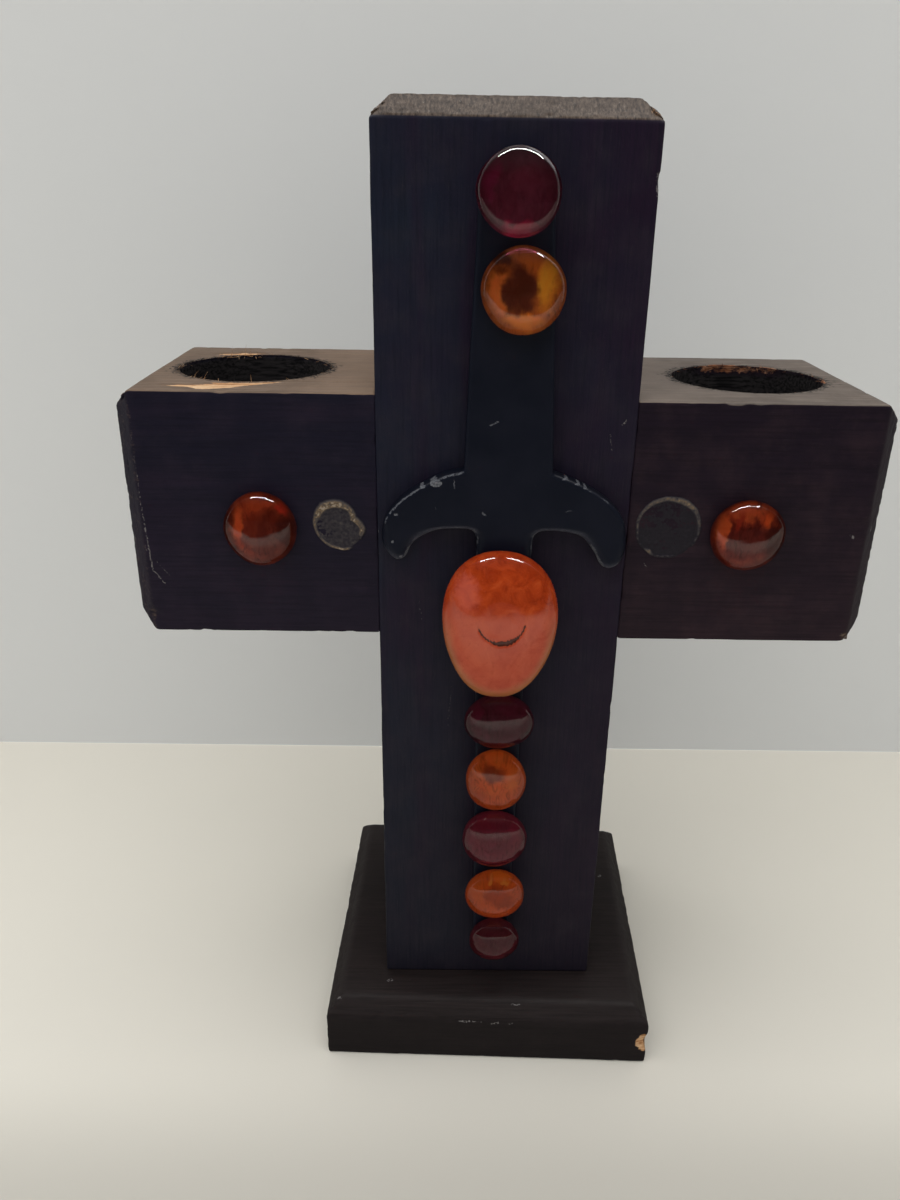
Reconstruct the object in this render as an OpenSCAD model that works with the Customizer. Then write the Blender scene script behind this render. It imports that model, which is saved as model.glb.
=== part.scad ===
// Free-standing wooden cross that holds two tealight candles in its arms,
// with a sword and gems applied to its front.
// Frame: +Z up, X to the viewer's right, the front faces -Y, origin on the
// underside of the base directly below the post's axis. Millimetres.

/* [Timber] */
// width and depth of the square timber used for the post and arms
stock_w = 63.5; // [62:0.5:65]
// height of the post above the base
post_h = 246.6; // [240:0.2:260]
// 45 degree chamfer round the top end of the post
post_chamfer = 4.4; // [2:0.2:6]

/* [Arms] */
// length of the left arm block, from the post's side to its end
arm_left_len = 63.9; // [62:0.1:70]
// length of the right arm block, from the post's side to its end
arm_right_len = 65.4; // [62:0.1:70]
// height of the left arm's underside above the table
arm_left_z = 138.8; // [136:0.1:141]
// height of the right arm's underside above the table
arm_right_z = 137.9; // [136:0.1:141]
// 45 degree chamfer round each arm's end
arm_chamfer = 4.5; // [2:0.1:6]

/* [Candle wells] */
// diameter of each candle well, for a 38 mm tealight cup
well_d = 39.3; // [38.5:0.1:40.5]
// depth of each candle well
well_depth = 19; // [12:0.5:22]
// distance of each well's centre from the post's axis
well_x = 66.3; // [65.5:0.1:67]

/* [Base] */
// width of the base, left to right
base_w = 98.3; // [92:0.1:110]
// depth of the base, front to back
base_d = 92.8; // [88:0.1:104]
// thickness of the base
base_t = 19.6; // [18:0.1:22]
// 45 degree chamfer round the base's top edge
base_chamfer = 4.3; // [2:0.1:6]
// how far the base's centre sits right of the post's axis
base_off_x = 1.1; // [0:0.1:1.5]
// how far the base's front edge, before turning, stands ahead of the post's front face
base_front = 15.8; // [12:0.1:18]
// how many degrees the base is turned clockwise under the post, seen from above
base_turn = 1.6; // [0:0.1:2]

/* [Joinery] */
// diameter of the hardwood dowels that hold the arms to the post
dowel_d = 9.5; // [8:0.5:10]
// length of those dowels
dowel_len = 48; // [40:1:54]
// distance of each dowel from the arm's mid plane
dowel_y = 16; // [12:1:18]
// height of the dowels above the table
dowel_z = 159; // [156:1:168]
// shank diameter of the screws up through the base
screw_d = 4.2; // [3.8:0.1:5]
// head diameter of those screws
screw_head_d = 8.2; // [7.4:0.2:9]
// length of those screws
screw_len = 50; // [45:1:60]
// distance of each screw from the post's axis
screw_x = 15; // [12:1:18]

/* [Sword] */
// thickness of the applied sword
sword_t = 4.8; // [3:0.2:6]
// how far the sword's centre line sits right of the post's axis
sword_x = 0.4; // [-1:0.1:1]
// height of the sword's point above the table
sword_point_z = 31.5; // [28:0.5:34]
// height of the top of the grip
sword_top_z = 251; // [248:0.5:254]
// half width of the blade where it leaves the guard
blade_r = 7; // [6:0.1:7.6]
// half width of the blade just above its point
blade_tip_r = 5.4; // [4:0.1:6]
// half width of the grip where it meets the guard
grip_low_r = 10.9; // [10:0.1:11.5]
// half width of the grip at its top
grip_top_r = 8.4; // [7:0.1:9]
// radius of the guard's upper outline
guard_r = 18.6; // [18:0.1:19]
// radius of the hollow under each side of the guard
guard_hollow_r = 10.8; // [10:0.1:11]

/* [Gems] */
// thickness of the glue layer behind each gem
glue_t = 0.4; // [0.2:0.1:0.8]
// height of the round gems' domes
gem_t = 6.4; // [5:0.2:7]
// diameter of the dark gem on the pommel
pommel_gem_d = 18.3; // [17:0.1:19]
// diameter of the amber gem on the grip
grip_gem_d = 19; // [17:0.1:19.6]
// diameter of the gems on the arms
arm_gem_d = 18.7; // [17:0.1:20]
// diameter of the first gem below the oval stone
blade_gem_1_d = 16.8; // [15:0.1:17]
// diameter of the second gem below the oval stone
blade_gem_2_d = 18; // [15:0.1:18.8]
// diameter of the third gem below the oval stone
blade_gem_3_d = 18.6; // [15:0.1:19]
// diameter of the fourth gem below the oval stone
blade_gem_4_d = 17.2; // [15:0.1:18]
// diameter of the lowest gem on the blade
blade_gem_5_d = 15; // [13:0.1:16]
// width of the oval stone
stone_w = 29.6; // [28:0.2:31]
// height of the oval stone, top to bottom
stone_h = 41; // [38:0.2:41]
// dome height of the oval stone
stone_t = 9; // [7:0.2:10]

/* [Hidden] */
$fn = 96;

half = stock_w / 2;
front = -half;                    // front face of the post and arms
sword_face = front - sword_t;     // front face of the sword
sides = [-1, 1];                  // the two sides of a mirrored pair
overrun = 1;                      // how far a cut runs past the face it opens

// joinery
hole_spare = 0.5;                 // extra depth at a blind hole's end
hole_gap = 0.1;                   // extra diameter of a blind hole
dowel_hole_depth = dowel_len / 2 + hole_spare;
dowel_hole_overrun = 0.01;
dowel_chamfer = 1;
screw_recess = 1.2;               // how far the screw heads sit inside the base
screw_head_edge = 0.5;            // straight rim of a screw head
screw_seat_edge = 0.45;           // straight rim of the head seat, above the recess
screw_cone_h = (screw_head_d - screw_d) / 2;
screw_clear = 0.2;                // gap round a screw in the base, on the radius
screw_tip_len = 4;
screw_tip_r = 0.4;

// sword outline: heights above the table, x from the sword's centre line
guard_z = 165.5;                  // centre of the guard's upper outline
guard_x = 12;
hollow_z = 158.8;                 // centre of the hollow under the guard
hollow_x = 13.5;
guard_cut_z = 163.2;              // where the guard's rounded tips start
guard_inner_x = 4;                // where each side of the guard starts
guard_window = 40;                // square that keeps the guard above its tips
grip_low_z = 178;
blade_top_z = 166;
grip_corner_w = 5;                // width and height of the grip's cut top corners
grip_corner_h = 6;
point_h = 11;                     // height of the tapered point
point_r = 0.6;                    // half width of the blunt end
tip_out = guard_x + sqrt(guard_r * guard_r - pow(guard_z - guard_cut_z, 2));
tip_in = hollow_x + sqrt(guard_hollow_r * guard_hollow_r - pow(guard_cut_z - hollow_z, 2));

// gems and glue
gem_edge = 1.9;                   // radius of a gem's rounded rim
gem_rim_z = 1.4;                  // height of the rim's widest line above its flat back
stone_small_r = 11.4;             // radius of the narrow lower end of the oval stone
stone_bulge = 0.9;                // how far its middle swells past the mean end radius
stone_drop = 1.6;                 // how much lower the dome is at the narrow end
stone_fn = 56;
ring_t = 0.6;                     // thickness of the bare glue rings

// centres of the gems and glue rings on the front: [x, z]
pommel_at = [0.55, 247.2];
grip_at = [2.4, 227];
stone_at = [-0.4, 144.6];
blade_1_at = [0.5, 115.7];
blade_2_at = [0.2, 96.7];
blade_3_at = [0.4, 76.6];
blade_4_at = [1.1, 56.5];
blade_5_at = [1.4, 39.1];
arm_left_at = [-61.1, 168.3];
arm_right_at = [61.9, 168.3];
ring_left_at = [-41.4, 168.8];
ring_right_at = [42, 169.5];

// glue behind each gem: [centre, face it lies on, diameter]
glue_discs = [
  [pommel_at, sword_face, 11], [grip_at, sword_face, 11], [stone_at, sword_face, 13],
  [blade_1_at, sword_face, 10], [blade_2_at, sword_face, 10], [blade_3_at, sword_face, 10],
  [blade_4_at, sword_face, 10], [blade_5_at, sword_face, 9],
  [arm_left_at, front, 13], [arm_right_at, front, 13]];

// colours used by more than one node
timber_color = [0.03, 0.027, 0.035];
dowel_color = [0.72, 0.54, 0.35];
dark_gem_color = [0.25, 0.02, 0.06];

// ---- Timber ----

// rectangle standing on y = 0, chamfered on its two top corners
module top_chamfer_outline(width, height, chamfer) {
  side = width / 2;
  polygon([[-side, 0], [side, 0], [side, height - chamfer], [side - chamfer, height],
           [-side + chamfer, height], [-side, height - chamfer]]);
}

// a block chamfered all round its top face, standing on the XY plane
module chamfered_block(width, depth, height, chamfer) {
  intersection() {
    translate([0, depth / 2, 0]) rotate([90, 0, 0])
      linear_extrude(depth) top_chamfer_outline(width, height, chamfer);
    translate([-width / 2, 0, 0]) rotate([90, 0, 90])
      linear_extrude(width) top_chamfer_outline(depth, height, chamfer);
  }
}

// an arm's outline, chamfered at the end away from the post
module arm_outline(length) {
  shoulder = length - arm_chamfer;
  polygon([[0, 0], [shoulder, 0], [length, arm_chamfer], [length, stock_w - arm_chamfer],
           [shoulder, stock_w], [0, stock_w]]);
}

// an arm lying along +X, its joint face at x = 0, its underside at z = 0
module arm_block(length) {
  difference() {
    intersection() {
      translate([0, half, 0]) rotate([90, 0, 0]) linear_extrude(stock_w) arm_outline(length);
      translate([0, -half, 0]) linear_extrude(stock_w) arm_outline(length);
    }
    translate([well_x - half, 0, stock_w - well_depth])
      cylinder(h = well_depth + overrun, d = well_d);
  }
}

// ---- Joinery ----

// two dowel holes running from the joint at face_x: along +X, or -X if turned 180
module dowel_holes(face_x, turn) {
  translate([face_x, 0, 0]) rotate([0, 0, turn])
    for (side = sides)
      translate([-dowel_hole_overrun, side * dowel_y, dowel_z]) rotate([0, 90, 0])
        cylinder(h = dowel_hole_depth + dowel_hole_overrun, d = dowel_d + hole_gap);
}

// two dowels centred on the joint at face_x
module dowel_pair(face_x) {
  radius = dowel_d / 2;
  for (side = sides)
    translate([face_x - dowel_len / 2, side * dowel_y, dowel_z]) rotate([0, 90, 0])
      rotate_extrude() polygon([
        [0, 0], [radius - dowel_chamfer, 0], [radius, dowel_chamfer],
        [radius, dowel_len - dowel_chamfer], [radius - dowel_chamfer, dowel_len],
        [0, dowel_len]]);
}

// places children at each base screw's axis
module at_screws(z = 0) {
  for (side = sides) translate([side * screw_x, 0, z]) children();
}

// a countersunk wood screw pointing up, its head's flat face at z = 0
module wood_screw() {
  head_r = screw_head_d / 2;
  shank_r = screw_d / 2;
  rotate_extrude() polygon([
    [0, 0], [head_r, 0], [head_r, screw_head_edge], [shank_r, screw_head_edge + screw_cone_h],
    [shank_r, screw_len - screw_tip_len], [screw_tip_r, screw_len], [0, screw_len]]);
}

// the hole a screw passes through in the base: sunk head seat and clear shank hole
module screw_hole_in_base() {
  head_r = screw_head_d / 2 + screw_clear;
  shank_r = screw_d / 2 + screw_clear;
  seat_z = screw_recess + screw_seat_edge;
  rotate_extrude() polygon([
    [0, -overrun], [head_r, -overrun], [head_r, seat_z], [shank_r, seat_z + screw_cone_h],
    [shank_r, base_t + overrun], [0, base_t + overrun]]);
}

// ---- Sword ----

// one side of the guard, on +X
module guard_side() {
  intersection() {
    difference() {
      translate([guard_x, guard_z]) circle(guard_r);
      translate([hollow_x, hollow_z]) circle(guard_hollow_r);
    }
    translate([guard_inner_x, guard_cut_z]) square([guard_window, guard_window]);
  }
  translate([(tip_out + tip_in) / 2, guard_cut_z]) circle((tip_out - tip_in) / 2);
}

module sword_outline() {
  // half width and height from the top of the grip down to the point
  stations = [
    [grip_top_r - grip_corner_w, sword_top_z],
    [grip_top_r, sword_top_z - grip_corner_h],
    [grip_low_r, grip_low_z],
    [blade_r, blade_top_z],
    [blade_tip_r, sword_point_z + point_h],
    [point_r, sword_point_z]];
  for (side = sides) scale([side, 1]) guard_side();
  polygon(concat([for (p = stations) [-p[0], p[1]]],
                 [for (i = [len(stations) - 1:-1:0]) stations[i]]));
}

// ---- Gems and glue ----

// places something built on the XY plane so its back lies on the plane y = face
module on_front(at, face) {
  translate([at[0], face, at[1]]) rotate([90, 0, 0]) children();
}

// a flat-backed round gem: domed front, rounded rim, back on the XY plane
module gem_solid(diameter, height) {
  rim_x = diameter / 2 - gem_edge;
  rise = height - gem_rim_z;
  // the dome's arc is tangent to the rim's arc
  dome_r = (pow(rim_x, 2) + pow(rise, 2) - gem_edge * gem_edge) / (2 * (rise - gem_edge));
  dome_z = height - dome_r;
  reach = dome_r / (dome_r - gem_edge);
  tangent_x = rim_x * reach;
  tangent_z = dome_z + (gem_rim_z - dome_z) * reach;
  rotate_extrude() intersection() {
    union() {
      translate([rim_x, gem_rim_z]) circle(gem_edge);
      intersection() {
        translate([0, dome_z]) circle(dome_r);
        polygon([[0, 0], [rim_x, 0], [rim_x, gem_rim_z], [tangent_x, tangent_z],
                 [tangent_x, height + overrun], [0, height + overrun]]);
      }
      square([rim_x, gem_rim_z]);
    }
    square([diameter / 2 + overrun, height + overrun]);
  }
}

// a round gem on its layer of glue
module round_gem(at, diameter, face = sword_face) {
  on_front(at, face - glue_t) gem_solid(diameter, gem_t);
}

// a bare ring of dried glue on an arm's front
module glue_ring(at, diameter, wall) {
  on_front(at, front) linear_extrude(ring_t) difference() {
    circle(d = diameter);
    circle(d = diameter - 2 * wall);
  }
}

// ---- Nodes ----

module base() {
  color([0.03, 0.025, 0.03]) difference() {
    translate([base_off_x, front - base_front + base_d / 2, 0]) rotate([0, 0, -base_turn])
      chamfered_block(base_w, base_d, base_t, base_chamfer);
    at_screws() screw_hole_in_base();
  }
}

module post() {
  color(timber_color) difference() {
    translate([0, 0, base_t]) chamfered_block(stock_w, stock_w, post_h, post_chamfer);
    at_screws() cylinder(h = screw_recess + screw_len + hole_spare, d = screw_d + hole_gap);
    dowel_holes(half, 180);
    dowel_holes(-half, 0);
  }
}

module arm_left() {
  color(timber_color) difference() {
    translate([-half, 0, arm_left_z]) rotate([0, 0, 180]) arm_block(arm_left_len);
    dowel_holes(-half, 180);
  }
}

module arm_right() {
  color(timber_color) difference() {
    translate([half, 0, arm_right_z]) arm_block(arm_right_len);
    dowel_holes(half, 0);
  }
}

module dowels_left() { color(dowel_color) dowel_pair(-half); }

module dowels_right() { color(dowel_color) dowel_pair(half); }

module base_screws() { color([0.6, 0.6, 0.62]) at_screws(screw_recess) wood_screw(); }

module sword() {
  color([0.06, 0.07, 0.09]) on_front([sword_x, 0], front)
    linear_extrude(sword_t) sword_outline();
}

module gem_pommel() { color(dark_gem_color) round_gem(pommel_at, pommel_gem_d); }

module gem_grip() { color([0.85, 0.42, 0.05]) round_gem(grip_at, grip_gem_d); }

// an egg-shaped stone, its wide end up
module stone_oval() {
  low_z = -stone_h / 2 + stone_small_r;
  high_z = stone_h / 2 - stone_w / 2;
  mid_r = (stone_w / 2 + stone_small_r) / 2 + stone_bulge;
  color([0.85, 0.22, 0.06]) on_front(stone_at, sword_face - glue_t) hull() {
    translate([0, high_z, 0]) gem_solid(stone_w, stone_t, $fn = stone_fn);
    translate([0, (high_z + low_z) / 2, 0]) gem_solid(2 * mid_r, stone_t, $fn = stone_fn);
    translate([0, low_z, 0])
      gem_solid(2 * stone_small_r, stone_t - stone_drop, $fn = stone_fn);
  }
}

module gem_blade_1() { color(dark_gem_color) round_gem(blade_1_at, blade_gem_1_d); }

module gem_blade_2() { color([0.8, 0.25, 0.04]) round_gem(blade_2_at, blade_gem_2_d); }

module gem_blade_3() { color([0.28, 0.02, 0.05]) round_gem(blade_3_at, blade_gem_3_d); }

module gem_blade_4() { color([0.82, 0.22, 0.04]) round_gem(blade_4_at, blade_gem_4_d); }

module gem_blade_5() { color([0.35, 0.03, 0.05]) round_gem(blade_5_at, blade_gem_5_d); }

module gem_arm_left() { color([0.8, 0.2, 0.04]) round_gem(arm_left_at, arm_gem_d, front); }

module gem_arm_right() { color([0.7, 0.14, 0.04]) round_gem(arm_right_at, arm_gem_d, front); }

module gem_glue() {
  color([0.75, 0.7, 0.6]) for (disc = glue_discs)
    on_front(disc[0], disc[1]) cylinder(h = glue_t, d = disc[2]);
}

module glue_ring_left() {
  color([0.5, 0.46, 0.4]) glue_ring(ring_left_at, diameter = 14.6, wall = 1.4);
}

module glue_ring_right() {
  color([0.35, 0.34, 0.35]) glue_ring(ring_right_at, diameter = 17.4, wall = 1.2);
}

base();
post();
arm_left();
arm_right();
dowels_left();
dowels_right();
base_screws();
sword();
gem_pommel();
gem_grip();
stone_oval();
gem_blade_1();
gem_blade_2();
gem_blade_3();
gem_blade_4();
gem_blade_5();
gem_arm_left();
gem_arm_right();
gem_glue();
glue_ring_left();
glue_ring_right();
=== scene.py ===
"""A black-painted timber cross: a post on a base board, an arm on each side with a round well
in its top, and on the front a sword cut-out, nine poured glass gems and an oval stone.

X runs to the right, Y to the back and Z up. The post stands on the Z axis and the front faces
-Y. Lengths are in mm and become metres where a mesh is made. "Left" is -X.
"""
import bpy
import bmesh
import math
import numpy as np
from functools import cached_property
from types import SimpleNamespace
from mathutils import Matrix, Vector


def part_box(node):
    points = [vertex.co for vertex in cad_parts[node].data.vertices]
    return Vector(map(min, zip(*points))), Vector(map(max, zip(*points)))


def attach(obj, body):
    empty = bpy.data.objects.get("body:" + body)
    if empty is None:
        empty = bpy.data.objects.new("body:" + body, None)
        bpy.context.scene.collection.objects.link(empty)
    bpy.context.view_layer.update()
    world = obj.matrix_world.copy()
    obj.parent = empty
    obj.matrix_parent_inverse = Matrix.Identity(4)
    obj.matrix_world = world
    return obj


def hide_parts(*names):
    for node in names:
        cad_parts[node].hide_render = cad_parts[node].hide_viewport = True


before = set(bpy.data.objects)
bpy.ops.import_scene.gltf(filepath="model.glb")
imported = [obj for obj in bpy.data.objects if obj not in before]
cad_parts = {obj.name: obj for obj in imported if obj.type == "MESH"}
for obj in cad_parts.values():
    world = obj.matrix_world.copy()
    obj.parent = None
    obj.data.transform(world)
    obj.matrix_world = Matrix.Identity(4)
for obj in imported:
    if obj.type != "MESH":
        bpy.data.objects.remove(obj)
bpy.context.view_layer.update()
MM = 0.001


def box_mm(node):
    low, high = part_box(node)
    return np.array(low) * 1000.0, np.array(high) * 1000.0


def face_box(node):
    """Centre x and z, half width and half height, front y and back y of a flat-backed piece."""
    low, high = box_mm(node)
    return ((low[0] + high[0]) / 2, (low[2] + high[2]) / 2,
            (high[0] - low[0]) / 2, (high[2] - low[2]) / 2, low[1], high[1])


# ---------------------------------------------------------------- sizes and places
POST_LOW, POST_HIGH = box_mm("post")
FRONT = POST_LOW[1]
POST_CHAMFER = 4.4
BASE_CHAMFER = 4.3
ARM_CHAMFER = 4.5

# The round well in each arm's top
WELL_X = 66.3
WELL_RADIUS = 19.65
WELL_DEPTH = 19.0

DOWEL_HOLE_RADIUS = 4.8
SCREW_LOW, SCREW_HIGH = box_mm("base_screws")
SCREW_X = (SCREW_HIGH[0] - SCREW_LOW[0]) / 2 - 4.1

# The board's own width and depth, worked out from the CAD box round the turned board
BASE_LOW, BASE_HIGH = box_mm("base")
BASE_CENTRE = (BASE_LOW + BASE_HIGH) / 2
BASE_TURN = math.radians(-1.6)
BASE_THICK = BASE_HIGH[2] - BASE_LOW[2]
_cos, _sin = math.cos(BASE_TURN), -math.sin(BASE_TURN)
_wide, _deep = (BASE_HIGH - BASE_LOW)[:2]
BASE_WIDTH = (_wide * _cos - _deep * _sin) / (_cos * _cos - _sin * _sin)
BASE_DEPTH = (_deep * _cos - _wide * _sin) / (_cos * _cos - _sin * _sin)

# The round dimple in the oval stone: centre x, centre z and radius
STONE_X, STONE_Z = face_box("stone_oval")[:2]
DIMPLE = (STONE_X + 0.2, STONE_Z + 4.2, 6.0)

GEM_NODES = ["gem_pommel", "gem_grip", "gem_blade_1", "gem_blade_2", "gem_blade_3",
             "gem_blade_4", "gem_blade_5", "gem_arm_left", "gem_arm_right"]


def base_point(x, y, z):
    """A point in the board's own axes, x and y from its centre, in the shared frame."""
    return (BASE_CENTRE[0] + x * math.cos(BASE_TURN) - y * math.sin(BASE_TURN),
            BASE_CENTRE[1] + x * math.sin(BASE_TURN) + y * math.cos(BASE_TURN), z)


def dowels(side):
    """Inner and outer reach in x, and the distance in y and height of a side's two dowels."""
    low, high = box_mm("dowels_left" if side < 0 else "dowels_right")
    inner, outer = sorted((abs(low[0]), abs(high[0])))
    return inner, outer, high[1] - (high[2] - low[2]) / 2, (low[2] + high[2]) / 2


# ---------------------------------------------------------------- fields
def ease(start, end, x):
    """Smooth step from 0 at start to 1 at end."""
    t = np.clip((np.asarray(x, float) - start) / (end - start), 0.0, 1.0)
    return t * t * (3 - 2 * t)


def columns(*parts):
    """Arrays and numbers side by side as the columns of one array."""
    return np.stack(np.broadcast_arrays(*parts), -1)


def lattice_gradient(ix, iy, iz, seed):
    """A repeatable random unit vector for each lattice point."""
    key = (ix * 73856093) ^ (iy * 19349663) ^ (iz * 83492791) ^ (seed * 40503 + 977)
    key = (key & 0xFFFFFFFF).astype(np.uint64)
    for shift, factor in ((16, 0x7FEB352D), (15, 0x846CA68B)):
        key ^= key >> np.uint64(shift)
        key = (key * np.uint64(factor)) & np.uint64(0xFFFFFFFF)
    key ^= key >> np.uint64(16)
    low_bits = np.uint64(0xFFFF)
    angle = (key & low_bits).astype(float) / 65535.0 * 2 * math.pi
    z = ((key >> np.uint64(16)) & low_bits).astype(float) / 65535.0 * 2 - 1
    radius = np.sqrt(np.maximum(0, 1 - z * z))
    return radius * np.cos(angle), radius * np.sin(angle), z


def perlin(points, seed):
    cell = np.floor(points).astype(np.int64)
    part = points - cell
    fade = part * part * part * (part * (part * 6 - 15) + 10)
    out = np.zeros(len(points))
    for corner in np.ndindex(2, 2, 2):
        wx, wy, wz = np.where(corner, fade, 1 - fade).T
        gx, gy, gz = lattice_gradient(*(cell + corner).T, seed)
        dx, dy, dz = (part - corner).T
        out += wx * wy * wz * (gx * dx + gy * dy + gz * dz)
    return out * 1.5


def noise(points, size, octaves, seed, gain=0.5):
    """Layered noise in about -1..1; size is the feature size in mm, one or one per axis."""
    spots = np.asarray(points, float) / np.asarray(size, float)
    out, amplitude, total = 0.0, 1.0, 0.0
    for octave in range(octaves):
        out += amplitude * perlin(spots * (2.03 ** octave) + 17.3 * octave, seed + octave * 7)
        total += amplitude
        amplitude *= gain
    return out / total


def smooth_max(values, blend):
    out = values[0]
    for value in values[1:]:
        near = np.maximum(blend - np.abs(out - value), 0) / blend
        out = np.maximum(out, value) + near * near * blend * 0.25
    return out


# ---------------------------------------------------------------- grids and meshes
def lines(start, end, step, edge=(0.18, 0.4, 0.7, 1.15, 1.8)):
    """Grid positions: close together near both ends, about step apart between."""
    left = [start] + [start + e for e in edge]
    right = [end - e for e in reversed(edge)] + [end]
    count = max(1, int(round((right[0] - left[-1]) / step)))
    middle = list(np.linspace(left[-1], right[0], count + 1))[1:-1]
    return np.array(left + middle + right)


class Shell:
    """Grids of points whose shared edges are welded into one closed mesh."""

    def __init__(self):
        self.points, self.faces, self.count = [], [], 0

    def grid(self, grid, flip=False):
        rows, cols = grid.shape[:2]
        index = self.count + np.arange(rows * cols).reshape(rows, cols)
        self.points.append(grid.reshape(-1, 3))
        self.count += rows * cols
        quads = np.stack([index[:-1, :-1], index[1:, :-1], index[1:, 1:], index[:-1, 1:]], -1)
        quads = quads.reshape(-1, 4)
        self.faces.append(quads[:, ::-1] if flip else quads)

    def weld(self, tolerance=1e-4):
        """Welded points and faces; quads with a repeated corner become triangles."""
        points = np.vstack(self.points)
        key = np.round(points / tolerance).astype(np.int64)
        _, first, inverse = np.unique(key, axis=0, return_index=True, return_inverse=True)
        faces = []
        for face in inverse.reshape(-1)[np.vstack(self.faces)].tolist():
            corners = [face[k] for k in range(4) if face[k] != face[k - 1]]
            if len(set(corners)) >= 3:
                faces.append(corners)
        return points[first], faces


def box_shell(xs, ys, zs, with_top=True):
    """The sides of a box as grids, in the order front, back, right, left, top, bottom."""
    shell = Shell()
    stations = (xs, ys, zs)
    for axis, end, flip in ((1, 0, False), (1, -1, True), (0, -1, False), (0, 0, True),
                            (2, -1, False), (2, 0, True)):
        if (axis, end) == (2, -1) and not with_top:
            continue
        across, along = [k for k in range(3) if k != axis]
        grid = np.zeros((len(stations[across]), len(stations[along]), 3))
        grid[..., axis] = stations[axis][end]
        grid[..., across] = stations[across][:, None]
        grid[..., along] = stations[along]
        shell.grid(grid, flip)
    return shell


def box_planes(low, high, cut, chamfers):
    """Unit normals and distances of a box's faces and of its 45 degree chamfers.

    Each chamfer is given by the direction it faces; cut is its leg length.
    """
    def reach(direction):
        return sum(high[k] if d > 0 else -low[k] for k, d in enumerate(direction) if d)

    faces = ((1, 0, 0), (-1, 0, 0), (0, 1, 0), (0, -1, 0), (0, 0, 1), (0, 0, -1))
    planes = [(np.array(d, float), reach(d)) for d in faces]
    for d in chamfers:
        normal = np.array(d, float)
        planes.append((normal / np.linalg.norm(normal), (reach(d) - cut) / math.sqrt(2)))
    return planes


TOP_CHAMFERS = ((1, 0, 1), (-1, 0, 1), (0, 1, 1), (0, -1, 1))


def project(points, planes, blend):
    """Moves points onto the convex shape the planes enclose, its edges rounded by blend."""
    def field(at):
        return smooth_max([at @ normal - d for normal, d in planes], blend)

    points = points.copy()
    probe = 0.02
    for _ in range(7):
        value = field(points)
        slope = np.stack([field(points + step) - value for step in probe * np.eye(3)], -1) / probe
        steepness = (slope * slope).sum(1)
        points -= (value / np.maximum(steepness, 1e-3))[:, None] * slope
    return points


def edge_distance(points, planes):
    """About the distance to the nearest edge: the second smallest depth below the planes."""
    depth = np.stack([np.abs(points @ normal - d) for normal, d in planes], 1)
    depth.sort(axis=1)
    return depth[:, 1]


def point_normals(points, faces):
    """Area-weighted point normals of a closed mesh of quads and triangles."""
    quads = np.array([f if len(f) == 4 else f + f[-1:] for f in faces])
    a, b, c, d = (points[quads[:, k]] for k in range(4))
    cross = np.cross(c - a, d - b)
    normals = np.zeros_like(points)
    for k in range(4):
        np.add.at(normals, quads[:, k], cross)
    length = np.linalg.norm(normals, axis=1)
    length[length == 0] = 1
    return normals / length[:, None]


def link_object(name, mesh):
    ob = bpy.data.objects.new(name, mesh)
    bpy.context.scene.collection.objects.link(ob)
    return ob


def add_attribute(mesh, name, values):
    attribute = mesh.attributes.new(name, "FLOAT", "POINT")
    attribute.data.foreach_set("value", np.asarray(values, np.float32))


def shade_smooth(mesh):
    mesh.polygons.foreach_set("use_smooth", [True] * len(mesh.polygons))


def new_mesh(name, points, faces, **attributes):
    mesh = bpy.data.meshes.new(name)
    mesh.from_pydata((np.asarray(points) * MM).tolist(), [], faces)
    mesh.validate(verbose=False)
    mesh.update()
    ob = link_object(name, mesh)
    for key, values in attributes.items():
        add_attribute(mesh, key, values)
    shade_smooth(mesh)
    return ob


def get_points(mesh):
    points = np.zeros(len(mesh.vertices) * 3)
    mesh.vertices.foreach_get("co", points)
    return points.reshape(-1, 3) * 1000


def set_points(mesh, points):
    mesh.vertices.foreach_set("co", (points * MM).ravel())


def get_attribute(mesh, name):
    values = np.zeros(len(mesh.vertices), np.float32)
    mesh.attributes[name].data.foreach_get("value", values)
    return values


def fix_normals(ob, merge=0):
    bm = bmesh.new()
    bm.from_mesh(ob.data)
    if merge:
        bmesh.ops.remove_doubles(bm, verts=bm.verts, dist=merge)
    bmesh.ops.recalc_face_normals(bm, faces=bm.faces)
    bm.to_mesh(ob.data)
    bm.free()


def apply_modifiers(ob):
    bpy.context.view_layer.update()
    graph = bpy.context.evaluated_depsgraph_get()
    mesh = bpy.data.meshes.new_from_object(ob.evaluated_get(graph))
    ob.modifiers.clear()
    ob.data = mesh


def loft_faces(first, rings, sides, start_cap, end_cap):
    """Faces of stacked rings of points from index first on, fanned shut to two cap points."""
    pairs = [(k, (k + 1) % sides) for k in range(sides)]
    last = first + (rings - 1) * sides
    faces = [[start_cap, first + k, first + after] for k, after in pairs]
    for low in range(first, last, sides):
        high = low + sides
        faces += [[low + k, high + k, high + after, low + after] for k, after in pairs]
    return faces + [[end_cap, last + after, last + k] for k, after in pairs]


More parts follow.
